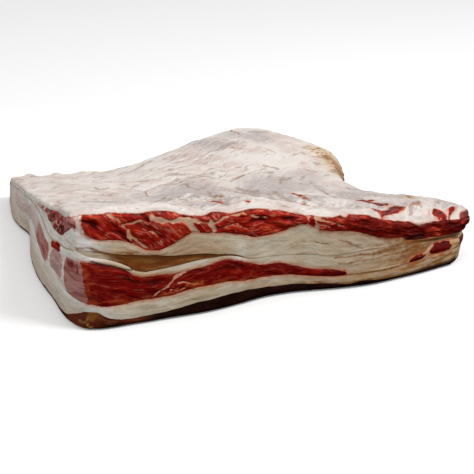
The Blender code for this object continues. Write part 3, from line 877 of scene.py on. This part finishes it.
def build_wall(index):
    """A stratum's wall points, rows by columns, and their colour attributes."""
    p = wall_points(index)
    back_front, back_right = seam_recess(p.u, p.v) if index == SEAM else (0.0, 0.0)
    spots = np.column_stack([place(p.u, p.v, p.height, back_front, back_right), p.height])
    lean = lean_depth(index, p, spots)
    flow = grain_flow(index, p, spots)
    grain = strands(flow, 0.0095 if index == UPPER else 0.007, 520) if index in (LOWER, UPPER) else 0 * lean
    relief = wall_relief(index, p, spots, lean, grain) * MM
    spots[:, :2] += p.normal * relief[:, None]
    looks = wall_looks(index, p, lean, grain)
    looks["flow"] = flow / FLOW_STRETCH
    return spots, looks


# Each layer of a look is 0 to about 1. The two numbers of a rise or a fall are where the change begins
# and over what length it takes place.

def wall_looks(index, p, lean, grain):
    """Colour attributes of the wall."""
    return {"lean": lean, "age": wall_age(index, p), "stain": wall_stain(index, p, lean),
            "dark": wall_dark(index, p), "muted": wall_fading(index, p), "veil": wall_film(index, p),
            "crest": grain}


def wall_age(index, p):
    """How brown the fat is, and how dull the lean: more so towards the thin end."""
    turn = 0.40 if index in (OUTER, LOWER) else 0.50
    layers = [rise(p.u, turn, 0.40)]
    if index == MIDDLE:
        layers.append(0.95 * fall(p.share, 0, 1.1) * fall(p.u, 0.3, 0.1))
    if index == OUTER:
        layers.append(rise(p.u, 0.3, 0.25) * fall(p.share, 0, 0.7))
    by_face = [np.max(layers, axis=0), 0.9, 0.45 * smooth((75 - p.high) / 50)]
    age = np.select([p.front, p.right, p.left], by_face, 0.4)
    return 0.15 * age if index == CAP else age


def seam_line(p):
    """The seam's upper edge, from the near corner on, brown and darkened with painted shade under the middle
    fat.
    """
    return bell((1 - p.share) * p.thickness / 3.0) * rise(p.run, 20, 30)


def wall_stain(index, p, lean):
    """Brown creases and tinges of the fat, and orange edges and patches of the lean, on the long cut."""
    layers = [0.85 * strokes(wobbled(p.places, 1.2, 340), FRONT_CREASES) * (lean < 0)]
    if index == FLANK:
        layers.append(bell((p.run - 8) / 9) * rise(p.high, 6, 8))
    if index == OUTER:
        layers.append(0.85 * rise(p.u, 0.45, 0.2) * fall(p.share, 0, 0.6))
    if index == LOWER:
        fringe = p.run - 6.5 + 7.0 * noise(p.slab, 0.008, 352)
        layers.append(0.62 * bell(fringe / np.where(fringe < 0, 4.5, 9.0)))
        layers.append(fall(p.share, 0, 0.45) * (0.45 + 0.6 * noise(p.slab, (0.02, 0.02, 0.005), 356)))
        lumps = smooth(0.55 + 1.1 * rough_noise(p.slab, 0.005, 357))
        layers.append(lumps * strokes(wobbled(p.places, 2.0, 345), FRONT_RAW))
    if index == SEAM:
        layers.append(seam_line(p) + 0.3 * rise(p.run, 42, 14))
        layers = [np.max(layers, axis=0) * fall(p.u, CLEFT_END, 0.06)]
    if index in (INNER, SEAM, MIDDLE):
        tinge = 0.65 + 0.5 * noise(p.slab, (0.05, 0.05, 0.006), 358)
        layers.append(tinge * rise(p.u, 0.68, 0.14))
    return p.front * np.max(layers, axis=0) + 0.4 * p.right * (index == SEAM)


def wall_dark(index, p):
    """Painted shade in clefts, pits, under overhangs and at the walls' feet; on the flank also its own dark
    colour.
    """
    # Painted shadows in the clefts and pits of the long cut and the left end.
    layers = [p.front * 0.8 * strokes(wobbled(p.places, 1.0, 344), FRONT_SHADOWS),
              p.left * 0.7 * strokes(p.places, LEFT_SHADOWS)]
    if index == FLANK:
        # The flank muscle darkens away from the near corner and on the right and back: its own dark colour,
        # and painted contact shade under the slab.
        layers.append(p.front * rise(p.run, 30, 60) + 0.6 * (p.right | p.back))
    if index == OUTER:
        # Painted shade at the outer fat's foot, where the slab turns under, deeper towards the far end of
        # the cut.
        deep = 0.5 + 0.35 * p.front * rise(p.u, 0.75, 0.15)
        layers.append(deep * (1 - smooth((p.high - SHADED_FOOT_HEIGHT * p.u) / 8.0)))
    if index == SEAM:
        # Painted shade along the seam's upper edge, under the overhanging middle fat.
        layers.append(p.front * 0.62 * seam_line(p) * rise(p.u, 0.1, 0.1) * fall(p.u, CLEFT_END, 0.04))
    if index == UPPER:
        # Painted shade under the cap's lip, along the top of the upper lean.
        layers.append(p.front * 0.6 * rise(p.share, 0.88, 0.1) * smooth(0.6 + noise(p.slab, 0.02, 350)))
        # Dark noise patches on the left end's upper lean: painted shade in its clefts.
        layers.append(p.left * 0.75 * smooth(0.2 + 1.6 * rough_noise(p.slab, 0.006, 353)))
    return np.max(layers, axis=0)


def wall_fading(index, p):
    """How far the lean has faded to pink: low on the left end, and round the near corner."""
    ragged = p.run + 2.5 * noise(p.slab, 0.006, 351)
    corner = p.front * fall(ragged, 1.5, 4)
    if index in (INNER, SEAM, MIDDLE):
        faded = 0.0
    else:
        faded = p.left * (0.12 + 0.88 * smooth((80 - p.high) / 6)) + 0.4 * p.back
        faded = np.maximum(faded, p.left * (rise(p.run, 118, 12) + rise(p.run, 135, 50)))
        if index == LOWER:
            faded = faded + p.left * 0.3 * rise(p.run, 34, 5) * fall(p.run, 86, 6)
        faded = np.maximum(faded, p.left * 0.8 * smooth((36 - p.run) / 12))
        if index == UPPER:
            faded = np.maximum(faded, p.left * smooth(0.35 - 1.6 * rough_noise(p.slab, 0.005, 354)))
    fresh = 0.75 * p.left * strokes(wobbled(p.places, 2.0, 343), LEFT_FRESH)
    return (faded + corner) * (1 - fresh)


def wall_film(index, p):
    """Pale film on the fat, and the yellow bits of fat on the flank muscle."""
    if index == CAP:
        return np.full(len(p.u), -0.3)
    if index == FLANK:
        drawn = wobbled(p.places, 1.5, 342)
        return np.where(p.front, strokes(drawn, FRONT_BITS), p.left * strokes(drawn, LEFT_BITS))
    by_face = [1 - 0.6 * smooth((42 - p.high) / 30), smooth(1 - (p.run - 8) / 40)]
    film = np.select([p.left, p.front], by_face, 0.15)
    if index == INNER:
        film = np.maximum(film, p.front * bell((p.run - 164) / 13) * smooth(p.share / 0.5))
    if index == SEAM:
        beyond = rise(p.u, 0.35, 0.08) * fall(p.u, 0.74, 0.1)
        start = 22 - 20 * p.share ** 2 + 6 * noise(p.slab, 0.008, 355)
        film = np.maximum(film * p.left, p.front * (beyond + 1 - smooth((p.run - start) / 26)))
    return film


# ---- Meshes ----

HIDDEN_STEP, UNDERSIDE_STEP = 0.012, 0.004  # between the points of the hidden sheets and the underside
RIM_MARGIN = 0.006  # between them and the rim


def interior_points(step):
    """(u, v) spots inside the rim, about step apart."""
    across = np.arange(RIM_MARGIN, FRONT_LENGTH - RIM_MARGIN, step)
    up = np.arange(RIM_MARGIN, SIDE_LENGTH - RIM_MARGIN, step)
    a, b = np.meshgrid(across, up)
    a = a + (np.arange(len(up))[:, None] % 2) * step / 2
    keep = a < FRONT_LENGTH - RIM_MARGIN
    return np.stack([a[keep] / FRONT_LENGTH, b[keep] / SIDE_LENGTH], axis=1)


def triangulate(step):
    """Inner (u, v) spots, and the triangles over the rim's columns and them."""
    inner = interior_points(step)
    everything = np.concatenate([RIM_UV, inner]) * SIDES
    edges = [(i, (i + 1) % COLUMNS) for i in range(COLUMNS)]
    found = delaunay_2d_cdt([Vector(p) for p in everything], edges, [], 1, 1e-9)
    origin = [source[0] for source in found[3]]
    return inner, np.array([[origin[i] for i in face] for face in found[2]])


def sheet(index, inner, top):
    """Inner points of a stratum's lower or upper surface."""
    u, v = inner.T
    level = levels(u, v, top_surface(u, v) - SPARE)[index + 1 if top else index]
    if index or top:
        level = level + (-CLEARANCE if top else CLEARANCE)
    else:
        bumpy = level + UNDERSIDE_BUMPS * rough_noise(on_plane(inner * SIDES), 0.02, 600)
        level = np.where(base_height(u, v) > 0, bumpy + UNDERSIDE_BUMPS, np.maximum(bumpy, 0))
    back_front, back_right = seam_recess(u, v) if index == SEAM else (0.0, 0.0)
    return np.column_stack([place(u, v, level, back_front, back_right), level])


def cap_top():
    """The cap's whole upper surface inside the rim, row by row, with its (u, v)."""
    u, v = (grid.ravel() for grid in np.meshgrid(U_LINES[1:-1], V_LINES[1:-1]))
    height = top_surface(u, v)
    return np.column_stack([place(u, v, height), height]), u, v


def cap_top_faces(first):
    """Quads of the cap's top: rim columns round a grid whose points start at first."""
    ids = np.zeros((NV + 1, NU + 1), int)
    ids[1:-1, 1:-1] = first + np.arange((NU - 1) * (NV - 1)).reshape(NV - 1, NU - 1)
    rim = WALL_ROWS[CAP] * COLUMNS + np.arange(COLUMNS)
    ids[0, :NU] = rim[:NU]
    ids[:NV, NU] = rim[NU:NU + NV]
    ids[NV, NU:0:-1] = rim[NU + NV:2 * NU + NV]
    ids[NV:0:-1, 0] = rim[2 * NU + NV:]
    return np.stack([ids[:-1, :-1], ids[:-1, 1:], ids[1:, 1:], ids[1:, :-1]], axis=-1).reshape(-1, 4)


def wall_faces(rows):
    """Quads of a wall that runs all the way round."""
    column = np.arange(COLUMNS)
    after = (column + 1) % COLUMNS
    row = np.arange(rows)[:, None] * COLUMNS
    quads = [row + column, row + after, row + COLUMNS + after, row + COLUMNS + column]
    return np.stack(quads, axis=-1).reshape(-1, 4)


def top_flow(u, v, height):
    """Coordinates along and across the cap's folds, drawn out along them."""
    flat = np.stack([u * FRONT_LENGTH, v * SIDE_LENGTH, height], axis=1)
    near, far = (flat @ heading_axes(heading).T for heading in (NEAR_HEADING, FAR_HEADING))
    return (near + (far - near) * far_share(v)[:, None]) / (3.0, 1.0, 1.0)


def blood_depth(u, v):
    """Signed distance inside the nearest blood mark on the cap, in millimetres."""
    drawn = wobbled(top_places(u, v), 2.0, 5)
    drops = [-stroke(drawn, path, width) for width, path in on_top(TOP_BLOOD)]
    return np.clip(np.max(drops, axis=0), NO_LEAN, -NO_LEAN)


def top_attributes(u, v):
    """Colour attributes of the cap's top."""
    places = top_places(u, v)
    drawn = wobbled(places, 2.0, 5)
    stain = strokes(drawn, on_top(TOP_STAINS))
    blood = blood_depth(u, v)
    # Grey painted shade over the top, with random grey patches from noise; painted light takes it off again.
    veil = strokes(places, on_top(TOP_PAINTED_SHADE))
    bright = strokes(places, on_top(TOP_PAINTED_LIGHT))
    aged = np.minimum(1.5 * strokes(drawn, on_top(TOP_AGED)), 1.0)
    flat = on_plane(places) * MM
    patches = 0.6 * rough_noise(flat @ heading_axes(NEAR_HEADING).T, (0.03, 0.008, 1), 85)
    patches = rough_noise(flat, 0.045, 81) + patches * (1 - 0.8 * rise(u, 0.7, 0.1))
    veil = 0.85 * veil + 0.75 * patches * (1 - 0.6 * rise(v, 0.35, 0.3)) - 0.7 * bright
    drop = edge_drop(u, v)
    level = 1 - np.clip(2 * drop / EDGE_RADIUS, 0, 1)  # patterns drawn in plan end where the edge turns down
    return {"lean": blood, "age": np.maximum(aged, 0.25 * stain), "stain": 0.8 * stain,
            "dark": 0.48 * smooth(blood / 3), "muted": 0.45 * rise(u, 0.965, 0.02),
            "veil": np.clip(veil, -1, 1) * level, "crest": np.clip(top_folds(u, v)[1], -1, 1) * level,
            "flow": top_flow(u, v, -2 * drop)}


# Where a stratum is baked: how high its wall's strips reach, the corner and size of its lower sheet, and
# the corner and size of its upper surface.
BAKE = [(0.8, (0.0, 0.82), 0.17, (0.82, 0.82), 0.17)] * len(NAMES)
BAKE[FLANK] = (0.16, (0.0, 0.18), 0.8, (0.82, 0.82), 0.17)
BAKE[CAP] = (0.16, (0.85, 0.85), 0.14, (0.0, 0.17), (0.84, 0.82))
STRIP_MARGIN = 0.03  # of a strip's height, kept free at both sides


def strip_uv(rows, high):
    """Bake coordinates of wall quads: the four faces as strips, one over another, up to high."""
    starts = np.array(FACE_STARTS + (COLUMNS,))
    column = np.arange(COLUMNS)
    face = np.searchsorted(starts, column, side="right") - 1
    strip = high / len(FACE_STARTS)
    left, right = ((column + step - starts[face]) / max(NU, NV) for step in (0, 1))
    up = np.arange(rows + 1) / rows * (1 - 2 * STRIP_MARGIN) + STRIP_MARGIN
    bottom, top = strip * (face + up[:-1, None]), strip * (face + up[1:, None])
    left, right = np.broadcast_to(left, bottom.shape), np.broadcast_to(right, bottom.shape)
    corners = [(left, bottom), (right, bottom), (right, top), (left, top)]
    return np.stack([np.stack(corner, axis=-1) for corner in corners], axis=2).reshape(-1, 4, 2)


def hidden_look(key, inner):
    """An attribute's values on a sheet between the strata, or on the underside."""
    if key == "flow":
        return on_plane(inner * SIDES / 2)
    return np.full(len(inner), {"lean": NO_LEAN, "age": 0.3, "muted": 0.3}.get(key, 0.0))


class Shell:
    """One stratum's points, faces, bake coordinates and colour attributes, gathered part by part."""

    def __init__(self, index):
        self.index, self.rows = index, WALL_ROWS[index]
        wall, looks = build_wall(index)
        self.points = [wall]
        self.faces = [wall_faces(self.rows)]
        self.uv = [strip_uv(self.rows, BAKE[index][0])]
        self.looks = {key: [values] for key, values in looks.items()}
        self.count = len(wall)

    def add(self, points, looks, faces, uv):
        self.points.append(points)
        self.faces.append(faces)
        self.uv.append(uv)
        for key, groups in self.looks.items():
            groups.append(looks[key])
        self.count += len(points)

    def close(self, filling, top):
        """Closes the stratum below or above with a sheet."""
        inner, triangles = filling
        triangles = triangles if top else triangles[:, ::-1]
        rim = np.arange(COLUMNS) + (self.rows * COLUMNS if top else 0)
        ids = np.concatenate([rim, self.count + np.arange(len(inner))])
        corner, size = BAKE[self.index][3:] if top else BAKE[self.index][1:3]
        uv = np.concatenate([RIM_UV, inner])[triangles] * size + corner
        looks = {key: hidden_look(key, inner) for key in self.looks}
        self.add(sheet(self.index, inner, top), looks, ids[triangles], uv)

    def cover(self):
        """Closes the cap with its visible top, whose looks also take over the wall's upper row."""
        top, u, v = cap_top()
        upper_row = slice(self.rows * COLUMNS, (self.rows + 1) * COLUMNS)
        for key, values in top_attributes(RIM_U, RIM_V).items():
            self.looks[key][0][upper_row] = values
        all_uv = np.zeros((self.count + len(top), 2))
        all_uv[upper_row] = RIM_UV
        all_uv[self.count:] = np.stack([u, v], axis=1)
        quads = cap_top_faces(self.count)
        corner, size = BAKE[CAP][3:]
        self.add(top, top_attributes(u, v), quads, all_uv[quads] * size + corner)


def make_piece(index, below, above):
    """One closed stratum: its wall, its lower sheet, and its upper sheet or the cap's top."""
    shell = Shell(index)
    shell.close(below, top=False)
    if index == CAP:
        shell.cover()
    else:
        shell.close(above, top=True)
    sharp_rows = [0] if index == CAP else [0, shell.rows * COLUMNS]
    return make_object(NAMES[index], shell, sharp_rows)


def make_object(name, shell, sharp_rows):
    """A mesh piece; its edges are sharp along the rows of wall points that start at sharp_rows."""
    mesh = bpy.data.meshes.new(name)
    points = np.concatenate(shell.points)
    points[:, :2] += NEAR_CORNER
    mesh.from_pydata(points.tolist(), [], [face for group in shell.faces for face in group.tolist()])
    uv = np.concatenate([part.reshape(-1, 2) for part in shell.uv])
    mesh.uv_layers.new(name="OFBake").data.foreach_set("uv", uv.astype(np.float32).ravel())
    for key, groups in shell.looks.items():
        values = np.concatenate(groups)
        kind, field = ("FLOAT_VECTOR", "vector") if values.ndim == 2 else ("FLOAT", "value")
        mesh.attributes.new(key, kind, "POINT").data.foreach_set(field, values.astype(np.float32).ravel())
    mesh.shade_smooth()
    ends = np.zeros(2 * len(mesh.edges), np.int32)
    mesh.edges.foreach_get("vertices", ends)
    sharp = np.zeros(len(mesh.edges), bool)
    for first in sharp_rows:
        on_rim = (ends >= first) & (ends < first + COLUMNS)
        sharp |= on_rim.reshape(-1, 2).all(axis=1)
    mesh.attributes.new("sharp_edge", "BOOLEAN", "EDGE").data.foreach_set("value", sharp)
    mesh.update()
    return add_object(name + "_flesh", mesh)


def fit_in_box(objects):
    """Draws the whole slab in, axis by axis, where its relief would leave the CAD's box."""
    low, high = np.array(CAD_BOX)
    clouds = []
    for obj in objects:
        cloud = np.zeros(len(obj.data.vertices) * 3, np.float32)
        obj.data.vertices.foreach_get("co", cloud)
        clouds.append(cloud.reshape(-1, 3).astype(float))
    found_low = np.min([cloud.min(axis=0) for cloud in clouds], axis=0)
    found_high = np.max([cloud.max(axis=0) for cloud in clouds], axis=0)
    new_low, new_high = np.maximum(found_low, low), np.minimum(found_high, high)
    scale = (new_high - new_low) / (found_high - found_low)
    for obj, cloud in zip(objects, clouds):
        cloud = new_low + (cloud - found_low) * scale
        obj.data.vertices.foreach_set("co", cloud.astype(np.float32).ravel())
        obj.data.update()


# ---- Materials ----

def srgb(red, green, blue):
    """A colour given as 8-bit sRGB, in linear light."""
    channels = [c / 255 for c in (red, green, blue)]
    return tuple(c / 12.92 if c <= 0.04045 else ((c + 0.055) / 1.055) ** 2.4 for c in channels) + (1.0,)


class Graph:
    """Short calls for laying out one material's nodes."""

    def __init__(self, name):
        self.material = bpy.data.materials.new(name)
        self.material.use_nodes = True
        self.tree = self.material.node_tree
        self.shader = self.tree.nodes["Principled BSDF"]
        self.place = self.add("ShaderNodeTexCoord").outputs["Object"]

    def add(self, kind, inputs=(), **settings):
        node = self.tree.nodes.new(kind)
        for key, value in settings.items():
            setattr(node, key, value)
        for key, value in dict(inputs).items():
            self.feed(node.inputs[key], value)
        return node

    def feed(self, socket, value):
        if isinstance(value, bpy.types.NodeSocket):
            self.tree.links.new(value, socket)
        else:
            socket.default_value = value

    def paint(self, inputs):
        """Sets the shader's inputs."""
        for key, value in inputs.items():
            self.feed(self.shader.inputs[key], value)

    def attribute(self, name):
        return self.add("ShaderNodeAttribute", attribute_name=name).outputs["Fac"]

    def math(self, operation, a, b):
        return self.add("ShaderNodeMath", {0: a, 1: b}, operation=operation).outputs[0]

    def plus(self, a, b):
        return self.math("ADD", a, b)

    def times(self, a, b):
        return self.math("MULTIPLY", a, b)

    def waver(self, value, noise, amount):
        """A value that a noise shifts up and down."""
        return self.plus(value, self.times(self.math("SUBTRACT", noise, 0.5), amount))

    def ramp(self, value, low, high, to_low=0.0, to_high=1.0):
        """A smooth step of value from low to high."""
        inputs = {"Value": value, "From Min": low, "From Max": high, "To Min": to_low, "To Max": to_high}
        return self.add("ShaderNodeMapRange", inputs, interpolation_type="SMOOTHSTEP").outputs["Result"]

    def mix(self, amount, a, b):
        """The first colour, laid over with the second."""
        return self.add("ShaderNodeMix", {0: amount, 6: a, 7: b}, data_type="RGBA").outputs[2]

    def mix_values(self, amount, a, b):
        return self.add("ShaderNodeMix", {0: amount, 2: a, 3: b}).outputs[0]

    def flow(self):
        """Coordinates along and across the fibres, drawn out along them."""
        return self.add("ShaderNodeAttribute", attribute_name="flow").outputs["Vector"]

    def blend(self, colour, amount, *ramp_and_colour):
        """Lays a colour over another where amount rises through a ramp."""
        return self.mix(self.ramp(amount, *ramp_and_colour[:-1]), colour, ramp_and_colour[-1])

    def noise(self, scale, detail=3.0, vector=None, distortion=0.0):
        inputs = {"Vector": vector or self.place, "Scale": scale, "Detail": detail, "Distortion": distortion}
        return self.add("ShaderNodeTexNoise", inputs).outputs["Fac"]


# Each kind of stratum: clean fat, its darker patches, its streaks along the layers, aged fat, film, and
# how strong the streaks are.
FAT = (srgb(215, 203, 183), srgb(205, 186, 158), srgb(188, 163, 130), srgb(174, 124, 70),
       srgb(236, 232, 227), 0.5)
# The cap's film colour is a grey, laid over its top as painted shade.
CAP_FAT = (srgb(222, 213, 206), srgb(208, 190, 182), srgb(234, 230, 226), srgb(192, 160, 104),
           srgb(180, 168, 165), 0.45)
FLANK_MEAT = (srgb(104, 40, 26), srgb(52, 20, 12), srgb(130, 66, 34), srgb(24, 13, 8),
              srgb(170, 126, 66), 0.6)
SEAM_TISSUE = (srgb(134, 76, 30), srgb(106, 50, 16), srgb(160, 112, 60), srgb(170, 116, 60),
               srgb(208, 192, 166), 0.6)
LOOKS = {FLANK: FLANK_MEAT, SEAM: SEAM_TISSUE, CAP: CAP_FAT}
TAN = srgb(140, 86, 38)
BLUSH = srgb(204, 116, 74)
# Colour of the painted shade in the creases of the cap's folds.
CREASE_SHADE = srgb(150, 128, 112)
# The lean's clefts (painted shade), body and crests (painted light), and how strong its painted sheen is.
LOWER_REDS = (srgb(72, 3, 2), srgb(116, 8, 4), srgb(160, 32, 15))
UPPER_REDS = (srgb(66, 4, 3), srgb(156, 24, 13), srgb(222, 84, 46))
LOWER_PAINTED_SHEEN, UPPER_PAINTED_SHEEN = 0.12, 0.38
# Colour of the painted highlight: pale sheen flecks along the fibres.
PAINTED_SHEEN = srgb(218, 138, 110)
PINK = srgb(192, 140, 133)
PINK_CLEFT = srgb(160, 98, 92)
FADED = srgb(234, 216, 211)
ORANGE = srgb(184, 78, 38)
# Near-black laid on by the dark attribute: painted shade on the walls, and the dark middles of the blood
# marks on the cap.
SHADE_AND_BLOOD_BLACK = srgb(24, 6, 4)

FAT_ROUGHNESS = (0.38, 0.6)
LEAN_ROUGHNESS = (0.22, 0.4)
BUMP_STRENGTH, BUMP_DISTANCE = 0.7, 0.001
GLOSS = 0.1  # the meat shows almost no highlights
SUBSURFACE, SUBSURFACE_RADIUS, SUBSURFACE_SCALE = 0.1, (1.0, 0.4, 0.25), 0.002


def fat_colour(g, look, p, layers, broad, medium):
    """Cream fat with darker patches, film, stains and creases of painted shade, blushing beside the lean."""
    light, shade, streak, aged, film, streaky = look
    fat = g.blend(light, broad, 0.38, 0.66, shade)
    fat = g.blend(fat, layers, 0.48, 0.68, 0.0, streaky, streak)
    fat = g.mix(g.times(p.age, g.ramp(layers, 0.62, 0.36, 0.35, 1.0)), fat, aged)
    deep = g.ramp(g.plus(layers, g.times(broad, 0.5)), 0.70, 0.52, 0.0, 0.7)
    fat = g.mix(g.times(p.age, deep), fat, TAN)
    # The film: pale on the walls, and on the cap's top a grey painted shade.
    fat = g.mix(g.times(g.ramp(p.veil, 0.0, 1.0), g.ramp(layers, 0.62, 0.4, 0.55, 1.0)), fat, film)
    # Painted shade in the creases of the cap's folds, where crest is low.
    fat = g.blend(fat, g.waver(p.crest, medium, 1.2), -0.3, -0.95, 0.0, 0.6, CREASE_SHADE)
    fat = g.blend(fat, g.waver(p.stain, medium, 1.3), 0.2, 1.0, 0.0, 0.85, TAN)
    return g.blend(fat, g.waver(p.lean, medium, 4.0), -3.4, 0.6, 0.0, 0.8, BLUSH)


def lean_colour(g, reds, painted_sheen, p, fibre, streak, medium):
    """Red lean, with painted shade between its bundles, painted light on them, fine fibres and a pale
    painted sheen.
    """
    cleft, body, bright = reds
    # Painted shade in the clefts and painted light on the crests, by the crest attribute, mixed with noise
    # for the red's own tone.
    level = g.waver(g.waver(g.times(p.crest, 0.45), streak, 2.6), fibre, 1.3)
    red = g.mix(g.ramp(level, -0.6, 0.25), cleft, body)
    red = g.blend(red, level, 0.25, 1.1, 0.0, 0.9, bright)
    dull = g.times(g.ramp(p.age, 0.0, 0.7, 0.0, 0.72), g.ramp(level, 0.15, 0.9, 1.0, 0.25))
    red = g.mix(dull, red, cleft)
    # Painted highlight: pale sheen flecks along the fibres, more on the crests, fewer where the lean is
    # aged.
    fleck = g.noise(560, 2, p.flow, 0.4)
    lit = g.ramp(g.plus(fleck, g.times(g.plus(p.crest, g.times(medium, 1.4)), 0.12)), 0.70, 0.80, 0.0, painted_sheen)
    red = g.mix(g.times(lit, g.ramp(p.age, 0.05, 0.5, 1.0, 0.08)), red, PAINTED_SHEEN)
    red = g.blend(red, g.waver(p.stain, medium, 0.9), 0.25, 1.0, 0.0, 0.9, ORANGE)
    pink = g.mix(g.ramp(streak, 0.38, 0.6), PINK_CLEFT, PINK)
    red = g.blend(red, p.muted, 0.0, 1.0, 0.0, 0.92, pink)
    return g.blend(red, p.muted, 1.0, 1.7, 0.0, 0.75, FADED)


def meat_material(name, look, reds, painted_sheen):
    """Fat, and lean within it, where the mesh's attributes place them."""
    g = Graph(name)
    names = ("lean", "age", "stain", "dark", "muted", "veil", "crest")
    p = SimpleNamespace(flow=g.flow(), **{key: g.attribute(key) for key in names})
    broad, medium, fine = g.noise(30, 2), g.noise(190, 4), g.noise(800, 3)
    layers = g.noise(240, 4, p.flow, 0.3)
    fibre, streak = g.noise(640, 3, p.flow), g.noise(170, 3, p.flow, 0.3)
    fat = fat_colour(g, look, p, layers, broad, medium)
    red = lean_colour(g, reds, painted_sheen, p, fibre, streak, medium)
    is_lean = g.ramp(g.waver(p.lean, medium, 3.0), -0.3, 0.4)
    # Where the dark attribute is high the colour turns near-black: painted shade on the walls, dark blood on
    # the cap.
    colour = g.blend(g.mix(is_lean, fat, red), p.dark, 0.2, 0.9, 0.0, 0.92, SHADE_AND_BLOOD_BLACK)
    roughness = g.mix_values(is_lean, g.ramp(medium, 0.3, 0.7, *FAT_ROUGHNESS),
                             g.ramp(fine, 0.3, 0.7, *LEAN_ROUGHNESS))
    height = g.mix_values(is_lean, g.plus(medium, layers), g.plus(fibre, streak))
    height = g.plus(height, g.times(fine, 0.12))
    bump = g.add("ShaderNodeBump", {"Strength": BUMP_STRENGTH, "Distance": BUMP_DISTANCE, "Height": height})
    g.paint({"Base Color": colour, "Roughness": roughness, "Normal": bump.outputs["Normal"],
             "Specular IOR Level": GLOSS, "Subsurface Weight": SUBSURFACE,
             "Subsurface Radius": SUBSURFACE_RADIUS, "Subsurface Scale": SUBSURFACE_SCALE})
    return g.material


# ---- Floor, light and camera ----

FLOOR_HALF = 14.0
FLOOR_GREYS = ((0.93, 0.93, 0.93, 1), (0.95, 0.95, 0.95, 1))
FLOOR_GLOW = 0.08
WHITE = (1.0, 1.0, 1.0, 1.0)
SKY = 0.66
HORIZON = (-0.03, -0.006)  # how far below level the sky starts and is full
LAMPS = {"key": ((0.95, -0.85, 1.7), 22), "fill": ((-1.3, -0.75, 1.1), 6)}  # place, power
LAMP_TARGET = Vector((0, 0, 0.05))
LAMP_SIZE = 0.6
CAMERA_TARGET = Vector((-0.026, -0.123, 0.040))
CAMERA_AZIMUTH = math.radians(-20.07)
CAMERA_ELEVATION = math.radians(24.0)
CAMERA_DISTANCE = 1.08
LENS = 75.95
SENSOR = 36.0


def add_object(name, data, position=(0, 0, 0), towards=None):
    """A new object in the scene, turned to face along a direction if one is given."""
    obj = bpy.data.objects.new(name, data)
    obj.location = position
    if towards:
        obj.rotation_euler = towards.to_track_quat("-Z", "Y").to_euler()
    bpy.context.scene.collection.objects.link(obj)
    return obj


def make_floor():
    mesh = bpy.data.meshes.new("floor")
    h = FLOOR_HALF
    mesh.from_pydata([(-h, -h, 0), (h, -h, 0), (h, h, 0), (-h, h, 0)], [], [(0, 1, 2, 3)])
    g = Graph("floor_paint")
    g.paint({"Base Color": g.mix(g.noise(0.6, 2), *FLOOR_GREYS), "Roughness": 0.9,
             "Specular IOR Level": 0.0, "Emission Color": WHITE, "Emission Strength": FLOOR_GLOW})
    mesh.materials.append(g.material)
    floor = add_object("floor", mesh)
    floor.visible_diffuse = False
    floor.visible_glossy = False


def make_camera():
    lens = bpy.data.cameras.new("camera")
    lens.lens = LENS
    lens.sensor_width = SENSOR
    flat, up = math.cos(CAMERA_ELEVATION), math.sin(CAMERA_ELEVATION)
    back = Vector((math.sin(CAMERA_AZIMUTH) * flat, -math.cos(CAMERA_AZIMUTH) * flat, up))
    bpy.context.scene.camera = add_object("camera", lens, CAMERA_TARGET + back * CAMERA_DISTANCE, -back)


def make_light():
    """A white sky that ends at the horizon, and two soft lamps."""
    scene = bpy.context.scene
    scene.view_settings.view_transform = "Standard"
    world = bpy.data.worlds.new("studio")
    world.use_nodes = True
    tree = world.node_tree
    direction = tree.nodes.new("ShaderNodeTexCoord").outputs["Generated"]
    split = tree.nodes.new("ShaderNodeSeparateXYZ")
    above = tree.nodes.new("ShaderNodeMapRange")
    above.inputs["From Min"].default_value, above.inputs["From Max"].default_value = HORIZON
    above.inputs["To Max"].default_value = SKY
    background = tree.nodes["Background"]
    background.inputs["Color"].default_value = WHITE
    tree.links.new(direction, split.inputs[0])
    tree.links.new(split.outputs["Z"], above.inputs["Value"])
    tree.links.new(above.outputs["Result"], background.inputs["Strength"])
    scene.world = world
    for name, (position, power) in LAMPS.items():
        lamp = bpy.data.lights.new(name, "AREA")
        lamp.size = LAMP_SIZE
        lamp.energy = power
        add_object(name, lamp, position, LAMP_TARGET - Vector(position))


def main():
    coarse, fine = triangulate(HIDDEN_STEP), triangulate(UNDERSIDE_STEP)
    pieces = []
    for index, name in enumerate(NAMES):
        piece = make_piece(index, fine if index == FLANK else coarse, coarse)
        reds, painted_sheen = (LOWER_REDS, LOWER_PAINTED_SHEEN) if index <= LOWER else (UPPER_REDS, UPPER_PAINTED_SHEEN)
        piece.data.materials.append(meat_material(name + "_look", LOOKS.get(index, FAT), reds, painted_sheen))
        pieces.append(piece)
    fit_in_box(pieces)
    for name, piece in zip(NAMES, pieces):
        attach(piece, "root")
        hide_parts(name)
    make_floor()
    make_light()
    make_camera()


main()
